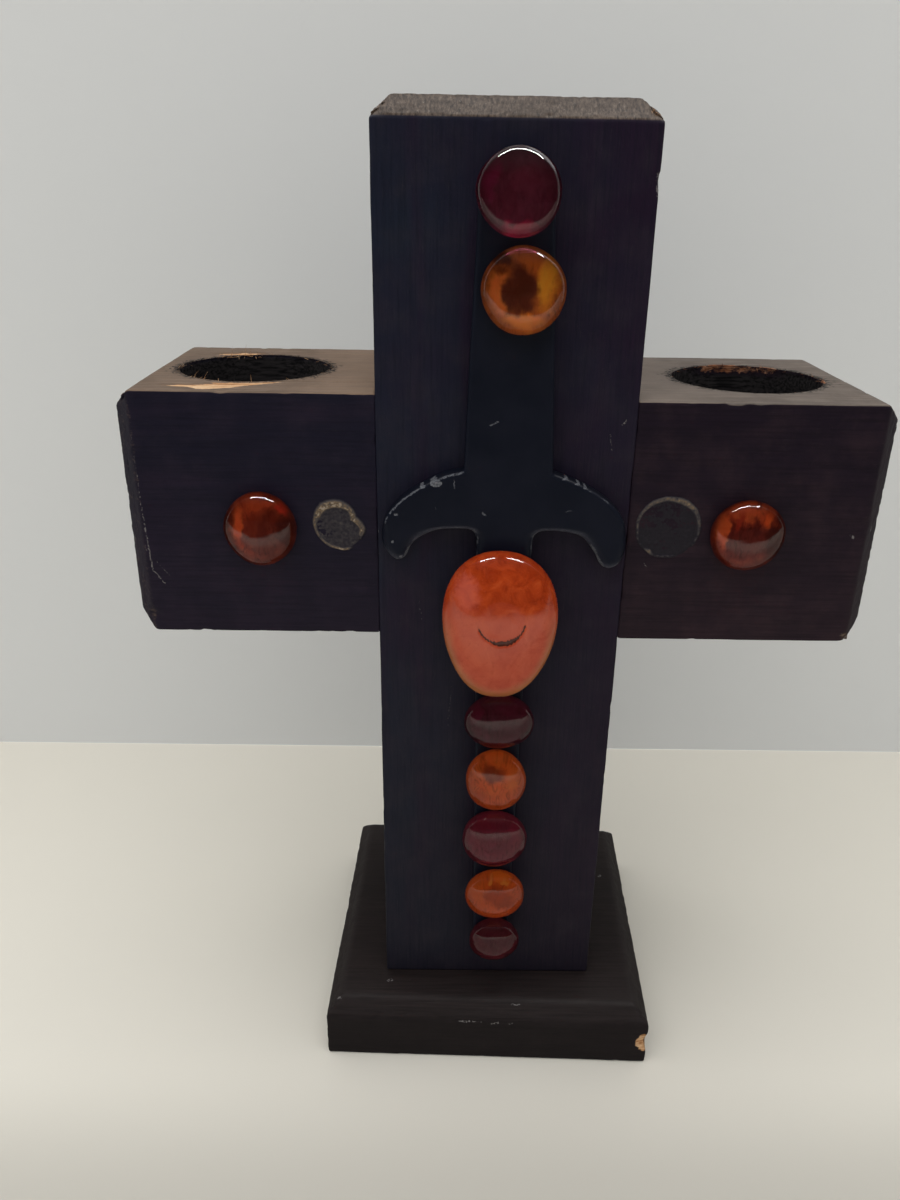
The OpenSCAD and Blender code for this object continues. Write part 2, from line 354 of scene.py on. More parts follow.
def drill(ob, holes):
    """Cuts round holes and bares the timber in them.

    Each hole is its start point, axis, length and the radii of its two ends.
    """
    bm = bmesh.new()
    for start, axis, length, radius1, radius2 in holes:
        axis = Vector(axis).normalized()
        middle = (Vector(start) + axis * (length / 2)) * MM
        turn = axis.to_track_quat("Z", "Y").to_matrix().to_4x4()
        bmesh.ops.create_cone(bm, cap_ends=True, segments=56, radius1=radius1 * MM,
                              radius2=radius2 * MM, depth=length * MM,
                              matrix=Matrix.Translation(middle) @ turn)
    mesh = bpy.data.meshes.new("cutter")
    bm.to_mesh(mesh)
    bm.free()
    cutter = link_object("cutter", mesh)
    cut = ob.modifiers.new("drill", "BOOLEAN")
    cut.operation = "DIFFERENCE"
    cut.object = cutter
    cut.solver = "EXACT"
    cut.use_self = True
    apply_modifiers(ob)
    bpy.data.objects.remove(cutter)

    mesh = ob.data
    points = get_points(mesh)
    inside = np.zeros(len(points))
    for start, axis, length, radius1, radius2 in holes:
        axis = np.array(axis, float) / np.linalg.norm(axis)
        offset = points - np.array(start, float)
        along = offset @ axis
        away = np.linalg.norm(offset - along[:, None] * axis, axis=1)
        radius = radius1 + (radius2 - radius1) * np.clip(along / length, 0, 1)
        within = (away < radius + 0.03) & (along > -0.05) & (along < length + 0.05)
        inside = np.maximum(inside, within.astype(float))
    raw = np.maximum(get_attribute(mesh, "raw"), 0.8 * inside)
    mesh.attributes["raw"].data.foreach_set("value", raw.astype(np.float32))
    mesh.set_sharp_from_angle(angle=math.radians(62))
    mesh.update()


# ---------------------------------------------------------------- shader graphs
class Graph:
    """Short ways to add shader nodes. An input may be a number, a colour or a socket."""

    def __init__(self, tree):
        self.tree = tree
        tree.nodes.clear()

    def put(self, socket, value):
        if isinstance(value, bpy.types.NodeSocket):
            self.tree.links.new(value, socket)
        elif isinstance(value, tuple) and len(value) == 3 and socket.type == "RGBA":
            socket.default_value = (*value, 1.0)
        else:
            socket.default_value = value

    def make(self, kind, inputs=None, **settings):
        """A new node; inputs are keyed by index or name."""
        node = self.tree.nodes.new("ShaderNode" + kind)
        for key, value in settings.items():
            setattr(node, key, value)
        for key, value in (inputs or {}).items():
            if value is not None:
                self.put(node.inputs[key], value)
        return node

    def out(self, kind, inputs=None, output=0, **settings):
        """One output of a new node."""
        return self.make(kind, inputs, **settings).outputs[output]

    def math(self, operation, a, b=None, c=None, clamp=False):
        return self.out("Math", {0: a, 1: b, 2: c}, operation=operation, use_clamp=clamp)

    def plus(self, a, b):
        return self.math("ADD", a, b)

    def times(self, a, b):
        return self.math("MULTIPLY", a, b)

    def linear(self, value, factor, offset):
        return self.math("MULTIPLY_ADD", value, factor, offset)

    def vec(self, operation, a, b=None, c=None, scale=None):
        output = 1 if operation in ("LENGTH", "DISTANCE", "DOT_PRODUCT") else 0
        return self.out("VectorMath", {0: a, 1: b, 2: c, 3: scale}, output, operation=operation)

    def map(self, value, start, end, low=0.0, high=1.0, smooth=True):
        """Value from start..end to low..high, clamped."""
        return self.out("MapRange", {0: value, 1: start, 2: end, 3: low, 4: high},
                        interpolation_type="SMOOTHSTEP" if smooth else "LINEAR")

    def split(self, vector):
        return self.make("SeparateXYZ", {0: vector}).outputs


class Material(Graph):
    INPUTS = {"color": "Base Color", "rough": "Roughness", "metal": "Metallic", "ior": "IOR",
              "spec": "Specular IOR Level", "trans": "Transmission Weight", "normal": "Normal",
              "sss": "Subsurface Weight", "sss_radius": "Subsurface Radius",
              "sss_scale": "Subsurface Scale"}

    def __init__(self, name):
        self.material = bpy.data.materials.new(name)
        self.material.use_nodes = True
        super().__init__(self.material.node_tree)
        self.output = self.make("OutputMaterial")
        self.surface = self.make("BsdfPrincipled")
        self.put(self.output.inputs[0], self.surface.outputs[0])

    def finish(self, **values):
        for key, value in values.items():
            self.put(self.surface.inputs[self.INPUTS[key]], value)
        return self.material

    @cached_property
    def pos(self):
        """Object position in mm."""
        return self.vec("SCALE", self.out("TexCoord", output="Object"), scale=1000.0)

    def normal_z(self):
        return self.split(self.out("TexCoord", output="Normal"))[2]

    def noise(self, scale, detail=3, rough=0.5, stretch=(1, 1, 1), seed=0.0, distortion=0.0):
        """Noise in about 0..1; scale is features per mm."""
        spot = self.vec("MULTIPLY_ADD", self.pos, tuple(scale * s for s in stretch),
                        (seed * 3.1, seed * 1.7, -seed * 2.3))
        return self.out("TexNoise", {"Scale": 1.0, "Detail": detail, "Roughness": rough,
                                     "Distortion": distortion, "Vector": spot}, "Fac")

    def wobble(self, vector, detail, amount):
        """A random offset of about +-amount/2 along each axis."""
        color = self.out("TexNoise", {"Scale": 1.0, "Detail": detail, "Vector": vector}, "Color")
        return self.vec("SCALE", self.vec("SUBTRACT", color, (0.5, 0.5, 0.5)), scale=amount)

    @cached_property
    def wobbled(self):
        """Position with a little wobble, so straight marks look scratched."""
        small = self.vec("SCALE", self.pos, scale=0.9)
        return self.vec("ADD", self.pos, self.wobble(small, detail=3, amount=1.1))

    def ramp(self, value, stops):
        output = self.out("ValToRGB", {0: value})
        elements = output.node.color_ramp.elements
        while len(elements) < len(stops):
            elements.new(0.5)
        for element, (position, color) in zip(elements, stops):
            element.position = position
            element.color = (*color, 1.0)
        return output

    def mix(self, factor, a, b):
        return self.out("Mix", {0: factor, 6: a, 7: b}, 2, data_type="RGBA")

    def mix_value(self, factor, a, b):
        return self.out("Mix", {0: factor, 2: a, 3: b}, data_type="FLOAT")

    def layer(self, under, over, mask, start, end, amount=1.0):
        """Colour over laid on colour under as mask goes from start to end, up to amount."""
        return self.mix(self.map(mask, start, end, 0.0, amount), under, over)

    def jitter(self, value, noise, spread, clamp=False):
        """Value moved by +-spread/2 of a 0..1 noise."""
        return self.math("ADD", value, self.linear(noise, spread, -spread / 2), clamp=clamp)

    def attr(self, name):
        return self.out("Attribute", output="Fac", attribute_name=name)

    def bump(self, height, strength, depth, normal=None):
        """Bumps of a depth in mm."""
        return self.out("Bump", {"Strength": strength, "Distance": depth * MM,
                                 "Height": height, "Normal": normal})

    def ellipse(self, vector, at, size):
        """Distance in x and z from a point, 1 on an ellipse of half sizes size."""
        away = self.vec("SUBTRACT", vector, (at[0], 0.0, at[1]))
        return self.vec("LENGTH", self.vec("MULTIPLY", away, (1 / size[0], 0.0, 1 / size[1])))

    def scratch(self, start, end, radius, soft=0.15):
        """1 inside a thin line of half width radius, 0 outside."""
        start, end = Vector(start), Vector(end)
        line = end - start
        offset = self.vec("SUBTRACT", self.wobbled, tuple(start))
        along = self.math("MULTIPLY", self.vec("DOT_PRODUCT", offset, tuple(line)),
                          1.0 / max(line.length_squared, 1e-9), clamp=True)
        away = self.vec("DISTANCE", offset, self.vec("SCALE", tuple(line), scale=along))
        return self.map(away, radius, radius - soft if radius > soft else 0.0)

    def scratches(self, marks, scale, seed, start, end):
        """All the scratches, broken up by a noise."""
        masks = [self.scratch(*mark) for mark in marks]
        mask = masks[0]
        for other in masks[1:]:
            mask = self.math("MAXIMUM", mask, other)
        return self.times(mask, self.map(self.noise(scale, seed=seed), start, end))


def scaled(color, factor):
    return tuple(min(1.0, factor * v) for v in color)


def marks_at(y, rows):
    """Scratches in a plane of constant y. Rows: start x, z, end x, z, half width."""
    return [((x0, y, z0), (x1, y, z1), radius) for x0, z0, x1, z1, radius in rows]


# ---------------------------------------------------------------- materials
# From the darkest grain to the palest
BARE_TIMBER = ((0.2, 0.075, 0.026), (0.44, 0.225, 0.1), (0.64, 0.42, 0.24), (0.78, 0.6, 0.42))
BARE_TIMBER_DARK = ((0.075, 0.026, 0.012), (0.26, 0.095, 0.04), (0.46, 0.22, 0.12),
                    (0.66, 0.42, 0.28))


def top_wear_and_sheen(m, color, facing_up, fine, blotch, x, top_wear_and_sheen_color, top_wear_and_sheen_mix, painted_light_near_post):
    """Thinner, browner paint on faces that look up, made paler by a painted sheen of the bright
    backdrop.
    """
    top = m.ramp(fine, [(0.28, scaled(top_wear_and_sheen_color, 0.5)), (0.5, top_wear_and_sheen_color),
                        (0.72, scaled(top_wear_and_sheen_color, 1.65))])
    top = m.layer(top, scaled(top_wear_and_sheen_color, 0.6), blotch, 0.35, 0.7, amount=0.5)
    # Painted light on the arm tops near the post, where the post's shade falls
    if painted_light_near_post:
        top = m.layer(top, scaled(top_wear_and_sheen_color, 2.0), m.math("ABSOLUTE", x), 60.0, 36.0, amount=0.45)
    return m.mix(m.times(facing_up, top_wear_and_sheen_mix), color, top)


def end_grain_paint(m, color, facing_up, blotch, seed):
    """Speckled, half-bare end grain."""
    coarse = m.noise(1.6, detail=4, rough=0.75, stretch=(1.0, 0.4, 0.4), seed=seed + 21)
    amount = m.times(facing_up, 1.0)
    specks = m.noise(2.6, detail=3, rough=0.7, stretch=(1.0, 0.5, 0.5), seed=seed + 23)
    end = m.ramp(coarse, [(0.36, (0.012, 0.009, 0.007)), (0.47, (0.07, 0.048, 0.034)),
                          (0.6, (0.135, 0.098, 0.072)), (0.72, (0.24, 0.19, 0.15))])
    end = m.layer(end, (0.06, 0.044, 0.034), blotch, 0.4, 0.7, amount=0.45)
    end = m.mix(0.24, end, (0.05, 0.028, 0.018))
    end = m.layer(end, (0.42, 0.38, 0.33), specks, 0.66, 0.76, amount=0.85)
    return m.mix(m.times(amount, 0.96), color, end)


def paint_material(name, grain, cool, plum, warm, spec, scratches, seed, floor_reflection_z=(210.0, 20.0),
                   top_wear_and_sheen_color=None, top_wear_and_sheen_mix=0.0, painted_light_near_post=False, end_grain_z=None,
                   bare=BARE_TIMBER):
    """Thin matte black paint on timber.

    grain is the axis index of the grain. spec is the specular level of the sides and of the
    top. The paint warms from the first to the second of the two heights given for it, a painted
    reflection of the warm floor. Above end_grain_z, where given, end grain shows; elsewhere a
    browner top colour, part worn thin paint and part a painted sheen, covers upward faces by its
    given share.
    """
    m = Material(name)

    def along(factor):
        return tuple(factor if axis == grain else 1.0 for axis in range(3))

    fine = m.noise(1.5, detail=5, rough=0.62, stretch=along(0.035), seed=seed)
    pores = m.noise(4.5, detail=3, rough=0.7, stretch=along(0.06), seed=seed + 3)
    streak = m.noise(0.085, detail=3, rough=0.55, stretch=along(0.16), seed=seed + 4)
    broad = m.noise(0.035, detail=4, rough=0.55, seed=seed + 5)
    blotch = m.noise(0.11, detail=5, rough=0.6, seed=seed + 7)
    speck = m.noise(1.9, detail=4, rough=0.75, seed=seed + 9)
    x, _, z = m.split(m.pos)

    # Cooler on the left and plum on the right, a painted tint of the light; warmer lower down, a
    # painted reflection of the warm floor
    side = m.jitter(m.linear(x, 0.012, 0.5), broad, 1.3, clamp=True)
    color = m.mix(side, cool, plum)
    color = m.layer(color, scaled(plum, 1.2), streak, 0.5, 0.7, amount=0.75)
    color = m.mix(m.map(z, *floor_reflection_z, 0.0, 0.62, smooth=False), color, warm)
    color = m.layer(color, scaled(warm, 1.7), blotch, 0.38, 0.75, amount=0.32)
    # Dark grain, then pale pores and specks
    color = m.mix(m.map(fine, 0.3, 0.6, 0.36, 0.0), color, scaled(cool, 0.45))
    color = m.layer(color, (0.04, 0.034, 0.038), pores, 0.58, 0.82, amount=0.38)
    color = m.layer(color, (0.055, 0.05, 0.05), speck, 0.7, 0.84, amount=0.24)

    if end_grain_z is None:
        facing_up = m.map(m.normal_z(), 0.35, 0.58)
        color = top_wear_and_sheen(m, color, facing_up, fine, blotch, x, top_wear_and_sheen_color, top_wear_and_sheen_mix,
                          painted_light_near_post)
    else:
        facing_up = m.map(z, end_grain_z - 0.25, end_grain_z + 0.15)
        color = end_grain_paint(m, color, facing_up, blotch, seed)

    # Worn, thin brown paint
    worn = m.map(m.jitter(m.attr("wear"), fine, 1.2), 0.32, 0.95)
    brown = m.ramp(fine, [(0.25, (0.026, 0.016, 0.012)), (0.5, (0.07, 0.045, 0.032)),
                          (0.75, (0.17, 0.125, 0.095))])
    color = m.mix(worn, color, brown)
    # Bare timber
    raw = m.map(m.jitter(m.attr("raw"), pores, 0.5), 0.38, 0.62)
    timber = m.ramp(m.jitter(fine, blotch, 0.5), list(zip((0.28, 0.44, 0.6, 0.8), bare)))
    color = m.mix(raw, color, timber)
    # The dark inside of a well, its floor darker than its wall
    dark = m.attr("dark")
    wall = m.mix(m.map(fine, 0.34, 0.64), (0.008, 0.0078, 0.0082), (0.034, 0.03, 0.03))
    color = m.mix(dark, color, m.mix(facing_up, wall, (0.0048, 0.0044, 0.0048)))

    height = m.plus(m.times(fine, 1.0), m.times(pores, 0.5))
    marks = m.scratches(scratches, scale=1.7, seed=seed + 11, start=0.4, end=0.52)
    color = m.mix(m.times(marks, 0.7), color, (0.2, 0.185, 0.18))
    height = m.math("SUBTRACT", height, m.times(marks, 1.5))

    rough = m.plus(m.linear(blotch, 0.2, 0.42), m.times(fine, 0.1))
    rough = m.mix_value(raw, rough, 0.85)
    rough = m.mix_value(m.times(worn, 0.6), rough, 0.72)
    specular = m.mix_value(dark, m.mix_value(facing_up, *spec), 0.05)
    normal = m.bump(height, strength=0.42, depth=0.1)
    waves = m.noise(0.5, detail=4, rough=0.6, seed=seed + 13)
    normal = m.bump(waves, strength=0.25, depth=0.25, normal=normal)
    return m.finish(color=color, rough=rough, spec=specular, normal=normal)


def sword_material(scratches):
    """Satin blue-black paint, greyer underneath, a painted reflection of the floor, and greyer
    where it is rubbed.
    """
    m = Material("sword_satin_paint")
    broad = m.noise(0.09, detail=4, rough=0.6, seed=2)
    fine = m.noise(2.2, detail=4, rough=0.65, seed=4)
    grit = m.noise(0.6, detail=5, rough=0.7, seed=8)
    color = m.layer((0.0036, 0.0056, 0.0138), (0.006, 0.0076, 0.017), broad, 0.3, 0.7)
    color = m.layer(color, (0.022, 0.024, 0.032), fine, 0.62, 0.85, amount=0.3)
    color = m.layer(color, (0.034, 0.032, 0.036), grit, 0.66, 0.8, amount=0.22)
    # Painted floor reflection on faces that look down
    underside_reflection_mask = m.map(m.normal_z(), -0.12, -0.75)
    under = m.layer((0.036, 0.038, 0.054), (0.08, 0.082, 0.102), fine, 0.35, 0.7)
    color = m.mix(m.times(underside_reflection_mask, 0.85), color, under)
    # Rubbed paint; under the guard the same attribute also carries a painted floor reflection
    worn = m.map(m.jitter(m.attr("wear"), grit, 1.2), 0.5, 0.85)
    rubbed = m.layer((0.055, 0.058, 0.07), (0.135, 0.138, 0.152), fine, 0.4, 0.6)
    color = m.mix(worn, color, rubbed)
    height = m.plus(m.times(fine, 0.6), m.times(grit, 0.5))
    marks = m.scratches(scratches, scale=2.1, seed=15, start=0.36, end=0.5)
    color = m.mix(m.times(marks, 0.75), color, (0.115, 0.12, 0.135))
    height = m.math("SUBTRACT", height, m.times(marks, 2.0))
    worn = m.math("MAXIMUM", worn, marks)
    rough = m.plus(m.linear(broad, 0.12, 0.4), m.times(grit, 0.1))
    return m.finish(color=color, rough=m.mix_value(worn, rough, 0.75), spec=0.17,
                    normal=m.bump(height, strength=0.22, depth=0.1))


def glue_material():
    """Dried glue, from a dark film to pale thick crumbs by the attribute "thick"."""
    m = Material("dried_glue")
    grain = m.noise(1.3, detail=5, rough=0.68, seed=3)
    blotch = m.noise(0.45, detail=4, rough=0.6, seed=9)
    thick = m.attr("thick")
    body = m.math("MULTIPLY", thick, 2.6, clamp=True)
    tone = m.plus(thick, m.times(m.linear(grain, 0.55, -0.28), body))
    color = m.ramp(tone, [(0.0, (0.0135, 0.0112, 0.016)), (0.2, (0.027, 0.023, 0.029)),
                          (0.4, (0.048, 0.042, 0.044)), (0.66, (0.092, 0.073, 0.062)),
                          (0.86, (0.145, 0.1, 0.06)), (1.0, (0.28, 0.225, 0.168))])
    color = m.layer(color, (0.04, 0.036, 0.046), blotch, 0.58, 0.74, amount=0.16)
    crumbs = m.noise(2.4, detail=5, seed=5)
    return m.finish(color=color, rough=m.map(grain, 0.2, 0.8, 0.45, 0.75), spec=0.15,
                    normal=m.bump(crumbs, strength=0.6, depth=0.15))


def dowel_material():
    m = Material("dowel_hardwood")
    grain = m.noise(1.8, detail=5, rough=0.6, stretch=(0.05, 1, 1), seed=2)
    color = m.ramp(grain, [(0.25, (0.36, 0.2, 0.1)), (0.5, (0.56, 0.36, 0.19)),
                           (0.75, (0.7, 0.5, 0.3))])
    return m.finish(color=color, rough=m.map(grain, 0.2, 0.8, 0.5, 0.75),
                    normal=m.bump(grain, strength=0.4, depth=0.12))


def steel_material():
    m = Material("zinc_plated_steel")
    mottle = m.noise(1.4, detail=5, rough=0.65, seed=4)
    fine = m.noise(6.0, detail=2, seed=6)
    color = m.ramp(mottle, [(0.3, (0.3, 0.29, 0.28)), (0.5, (0.52, 0.52, 0.5)),
                            (0.8, (0.62, 0.61, 0.58))])
    return m.finish(color=color, metal=1.0, rough=m.map(mottle, 0.2, 0.8, 0.28, 0.55),
                    normal=m.bump(fine, strength=0.15, depth=0.05))


def gem_glass(name, tint, tint2, seed):
    """Clear coloured glass with faint flow lines and smears."""
    m = Material(name)
    flow = m.noise(0.24, detail=4, rough=0.6, seed=seed, distortion=1.0)
    color = m.layer(tint, tint2, flow, 0.35, 0.65)
    smear = m.noise(0.35, detail=4, rough=0.6, seed=seed + 12)
    waves = m.noise(0.26, detail=2, seed=seed + 8)
    return m.finish(color=color, rough=m.map(smear, 0.5, 0.8, 0.008, 0.07), trans=1.0, ior=1.5,
                    spec=0.5, normal=m.bump(waves, strength=0.16, depth=0.35))


def gem_back_painted_glow(name, centre, size, rim, core, core_at, core_size, patches, mottle, edge, seed):
    """What shows through a gem, painted on its flat back: a rim colour round a core colour. The
    bright rim colour and pale patches are painted light, the glow of light caught inside the
    glass.

    Patches: centre, half sizes, colour, amount. mottle is the strength of dark streaks and
    edge that of the dark outline, painted darkness for the dark paint that the rim bends into
    view.
    """
    m = Material(name)
    dark = scaled(core, 0.5)
    offset = m.vec("SUBTRACT", m.pos, (centre[0], 0.0, centre[1]))
    offset = m.vec("MULTIPLY", offset, (1.0, 0.0, 1.0))
    shifted = m.vec("ADD", m.pos, (seed * 13.0, 0, seed * 7.0))
    wobble = m.wobble(m.vec("SCALE", shifted, scale=0.22), detail=4, amount=size[0] * 0.75)
    wavy = m.vec("MULTIPLY", m.vec("ADD", offset, wobble), (1.0, 0.0, 1.0))
    # Painted glow: the bright rim colour round the dark core
    color = m.layer(core, rim, m.ellipse(wavy, core_at, core_size), 0.55, 1.3)
    streak = m.noise(0.55, detail=4, rough=0.65, stretch=(1.6, 1.0, 0.5), seed=seed + 2,
                     distortion=1.4)
    color = m.layer(color, dark, streak, 0.46, 0.72, amount=mottle)
    # Pale patches paint glow and highlights seen in the glass
    for at, half, tone, amount in patches:
        color = m.layer(color, tone, m.ellipse(wavy, at, half), 1.3, 0.45, amount=amount)
    fleck = m.noise(1.9, detail=3, rough=0.7, seed=seed + 6)
    color = m.layer(color, scaled(rim, 1.5), fleck, 0.66, 0.8, amount=0.35)
    outline = m.vec("ADD", offset, m.vec("SCALE", wobble, scale=0.25))
    outline = m.vec("MULTIPLY", outline, (1.0 / size[0], 0.0, 1.0 / size[1]))
    # Painted darkness at the outline, for the dark paint the rim bends into view
    color = m.layer(color, dark, m.vec("LENGTH", outline), 0.6, 0.84, amount=edge)
    return m.finish(color=color, rough=0.45, spec=0.3)


def stone_material():
    """Milky stone: mottled orange brown above, paler salmon below, a painted reflection of the
    table, greener at the lower rim.
    """
    m = Material("stone_milky_orange")
    z = m.split(m.pos)[2]
    cloud = m.noise(0.16, detail=5, rough=0.62, seed=2, distortion=0.8)
    medium = m.noise(0.55, detail=5, rough=0.65, seed=5, distortion=1.0)
    fine = m.noise(2.6, detail=4, rough=0.7, seed=9)
    veins = m.noise(0.9, detail=4, rough=0.6, seed=14, stretch=(1.0, 1.0, 0.6), distortion=1.2)
    mottle = m.noise(0.3, detail=5, rough=0.6, seed=6, distortion=0.9)
    high = m.ramp(mottle, [(0.28, (0.24, 0.021, 0.004)), (0.46, (0.33, 0.036, 0.007)),
                           (0.6, (0.41, 0.052, 0.01)), (0.8, (0.5, 0.085, 0.021))])
    # Below: paler salmon, a painted reflection of the table
    low = m.ramp(cloud, [(0.25, (0.35, 0.046, 0.019)), (0.5, (0.42, 0.068, 0.03)),
                         (0.8, (0.49, 0.1, 0.044))])
    color = m.layer(low, high, m.jitter(z, cloud, 6.0), STONE_Z + 3.5, STONE_Z + 8.5)
    color = m.layer(color, (0.3, 0.04, 0.014), veins, 0.52, 0.7, amount=0.4)
    color = m.layer(color, (0.72, 0.2, 0.075), fine, 0.58, 0.78, amount=0.3)
    # A painted pinkish highlight at the upper left
    away = m.ellipse(m.pos, (STONE_X - 8.6, STONE_Z + 11.0), (1 / 0.24, 1 / 0.16))
    color = m.layer(color, (0.62, 0.15, 0.11), m.jitter(away, medium, 0.8), 1.0, 0.35, amount=0.38)
    # Greenish yellow along the lower rim
    away = m.ellipse(m.pos, (STONE_X, STONE_Z), (14.8, 20.5))
    rim = m.times(m.map(m.jitter(away, medium, 0.12), 0.74, 0.94),
                  m.map(z, STONE_Z + 7, STONE_Z - 8))
    color = m.mix(m.times(rim, 0.6), color, (0.27, 0.15, 0.055))
    # The dimple, and the dark groove along its lower edge
    away = m.ellipse(m.pos, DIMPLE[:2], (1, 1))
    inside = m.map(away, DIMPLE[2], DIMPLE[2] - 0.9)
    color = m.mix(m.times(inside, 0.25), color, (0.42, 0.07, 0.035))
    groove = m.map(m.jitter(m.attr("groove"), fine, 0.5), 0.3, 0.62)
    color = m.mix(m.times(groove, 0.9), color, (0.03, 0.014, 0.011))
    smear = m.noise(0.22, detail=4, seed=12)
    return m.finish(color=color, rough=m.map(smear, 0.4, 0.8, 0.06, 0.16), sss=0.3,
                    sss_scale=0.0022, sss_radius=(1.0, 0.3, 0.14), spec=0.42, ior=1.5,
                    normal=m.bump(cloud, strength=0.1, depth=0.3))


# ---------------------------------------------------------------- timber surface
def timber_relief(points, normals, grain, seed, end_grain=None):
    """Outward relief of painted timber. grain is the axis index of the grain."""
    coarse, fine = [1.6] * 3, [0.75] * 3
    coarse[grain], fine[grain] = 42.0, 14.0
    side = 0.055 * noise(points, coarse, 3, seed) + 0.028 * noise(points, fine, 2, seed + 31)
    broad = 0.13 * noise(points, 26.0, 2, seed + 51) + 0.035 * noise(points, 5.0, 2, seed + 61)
    end = 0.11 * noise(points, 0.95, 2, seed + 71) + 0.1 * noise(points, 2.4, 2, seed + 81)
    end = end - 0.16 * ease(0.25, 0.6, noise(points, 1.5, 2, seed + 91))
    if end_grain is None:
        end_grain = ease(0.35, 0.75, np.abs(normals[:, grain]))
    return side * (1 - end_grain) + end * end_grain + broad


def edge_chips(points, edge, seed, depth, size=5.0, start=0.12):
    """Depth of the chips along edges, and their mask."""
    mask = ease(start, start + 0.35, noise(points, size, 3, seed, gain=0.6))
    mask = mask * ease(1.5, 0.0, edge)
    fine = 0.5 + 0.5 * noise(points, 0.9, 2, seed + 5)
    return depth * mask * (0.6 + 0.6 * fine), mask


def dent(points, centre, radius, depth):
    """Depth of a round dent, and its mask."""
    away = np.linalg.norm(points - np.array(centre, float), axis=1)
    return depth * ease(radius, 0.0, away), ease(radius, radius * 0.35, away)


# ---------------------------------------------------------------- post and base
def build_post():
    half = (POST_HIGH[0] - POST_LOW[0]) / 2
    bottom, top = POST_LOW[2], POST_HIGH[2]
    shoulder = top - POST_CHAMFER
    xs = lines(-half, half, 0.86)
    zs = np.concatenate([lines(bottom, shoulder - 0.6, 1.9)[:-1],
                         np.arange(shoulder - 0.6, top + 1e-6, 0.35)])
    zs = np.append(zs[zs < top - 0.05], top)
    points, faces = box_shell(xs, xs, zs).weld()
    planes = box_planes((-half, -half, bottom), (half, half, top), POST_CHAMFER, TOP_CHAMFERS)
    points = project(points, planes, blend=0.55)
    normals = point_normals(points, faces)
    edge = edge_distance(points, planes)
    z = points[:, 2]
    head = ease(shoulder - 0.3, shoulder + 0.5, z)
    out = timber_relief(points, normals, 2, 11, end_grain=head) + 0.06
    chip, chipped = edge_chips(points, edge, 21, depth=0.36)
    # Saw tearing along the chamfer's lower edge
    torn = ease(1.2, 0.0, np.abs(z - shoulder))
    torn = torn * np.maximum(0, noise(points, (1.1, 1.1, 2.5), 2, 27))
    # A chip on the front right edge and a rubbed corner at the top right
    nick, nicked = dent(points, (half, -half, 249.8), 2.4, 0.75)
    corner = (half - 1.0, -half + 1.5, top - POST_CHAMFER * 0.4)
    rub, rubbed = dent(points, corner, 4.2, 0.4)
    out = out - chip - 0.16 * torn - nick - rub
    foot = ease(0.0, 1.0, z - bottom)
    wear = 0.15 * chipped + 0.12 * head + 0.16 * head * noise(points, 1.3, 3, 35)
    wear = wear + 0.22 * ease(0.9, 0.0, edge) * (0.5 + noise(points, 9, 2, 37)) + 0.55 * rubbed
    raw = 0.62 * rubbed * (0.55 + 0.8 * noise(points, 1.2, 2, 39)) + 0.4 * nicked
    ob = new_mesh("post_timber", points + normals * (out * foot)[:, None], faces,
                  wear=wear, raw=raw)
    holes = [((side * SCREW_X, 0.0, bottom - 1.0), (0, 0, 1), SCREW_HIGH[2] - bottom + 1.4,
              2.16, 2.16) for side in (-1, 1)]
    for side in (-1, 1):
        inner, _, y, z = dowels(side)
        holes += [((side * (inner - 0.5), y * end, z), (side, 0, 0), POST_HIGH[0] - inner + 1.5,
                   DOWEL_HOLE_RADIUS, DOWEL_HOLE_RADIUS) for end in (-1, 1)]
    drill(ob, holes)
    return ob


def build_base():
    low = np.array([-BASE_WIDTH / 2, -BASE_DEPTH / 2, 0.0])
    high = np.array([BASE_WIDTH / 2, BASE_DEPTH / 2, BASE_THICK])
    steps = (1.15, 1.05, 0.75)
    shell = box_shell(*(lines(*span) for span in zip(low, high, steps)))
    points, faces = shell.weld()
    planes = box_planes(low, high, BASE_CHAMFER, TOP_CHAMFERS)
    points = project(points, planes, blend=0.7)
    normals = point_normals(points, faces)
    edge = edge_distance(points, planes)
    under = ease(0.6, 0.0, points[:, 2])
    out = timber_relief(points, normals, 0, 111) + 0.08
    chip, chipped = edge_chips(points, edge, 121, depth=0.42, size=6.0, start=0.16)
    # A raw chip on the front right corner
    away = (points - np.array([high[0] - 0.6, low[1] + 0.6, 8.2])) / np.array([2.9, 2.9, 4.2])
    away = np.linalg.norm(away, axis=1) * (1 + 0.25 * noise(points, 1.6, 2, 125))
    broken = ease(1.05, 0.75, away)
    out = out - chip - 0.9 * ease(1.1, 0.2, away)
    out = out * (1 - under * (np.abs(normals[:, 2]) > 0.9)) - 0.05 * under
    x, y, z = base_point(*(points + normals * out[:, None]).T)
    z = np.maximum(z, 0.0)
    # Stays clear of the post's foot
    foot = (np.abs(x) < 33.0) & (np.abs(y) < 33.0) & (z > 15)
    z = np.where(foot, np.minimum(z, BASE_THICK - 0.02), z)
    wear = 0.2 * ease(1.1, 0.0, edge) * (0.55 + noise(points, 11, 2, 137))
    wear = 0.1 * chipped + wear + 0.06 + 0.1 * noise(points, 22, 2, 139)
    raw = 1.15 * broken * (0.8 + 0.4 * noise(points, 1.4, 2, 141))
    ob = new_mesh("base_board", columns(x, y, z), faces, wear=wear, raw=raw)
    # For each screw: a counterbore from below, a countersink and a clearance hole
    head = SCREW_LOW[2]
    holes = []
    for side in (-1, 1):
        for start, length, radius1, radius2 in ((-1.0, 1.0 + head + 0.55, 4.3, 4.3),
                                                (head + 0.5, 2.25, 4.3, 2.25),
                                                (head + 2.5, BASE_HIGH[2] - head, 2.2, 2.2)):
            holes.append(((side * SCREW_X, 0.0, start), (0, 0, 1), length, radius1, radius2))
    drill(ob, holes)
    return ob


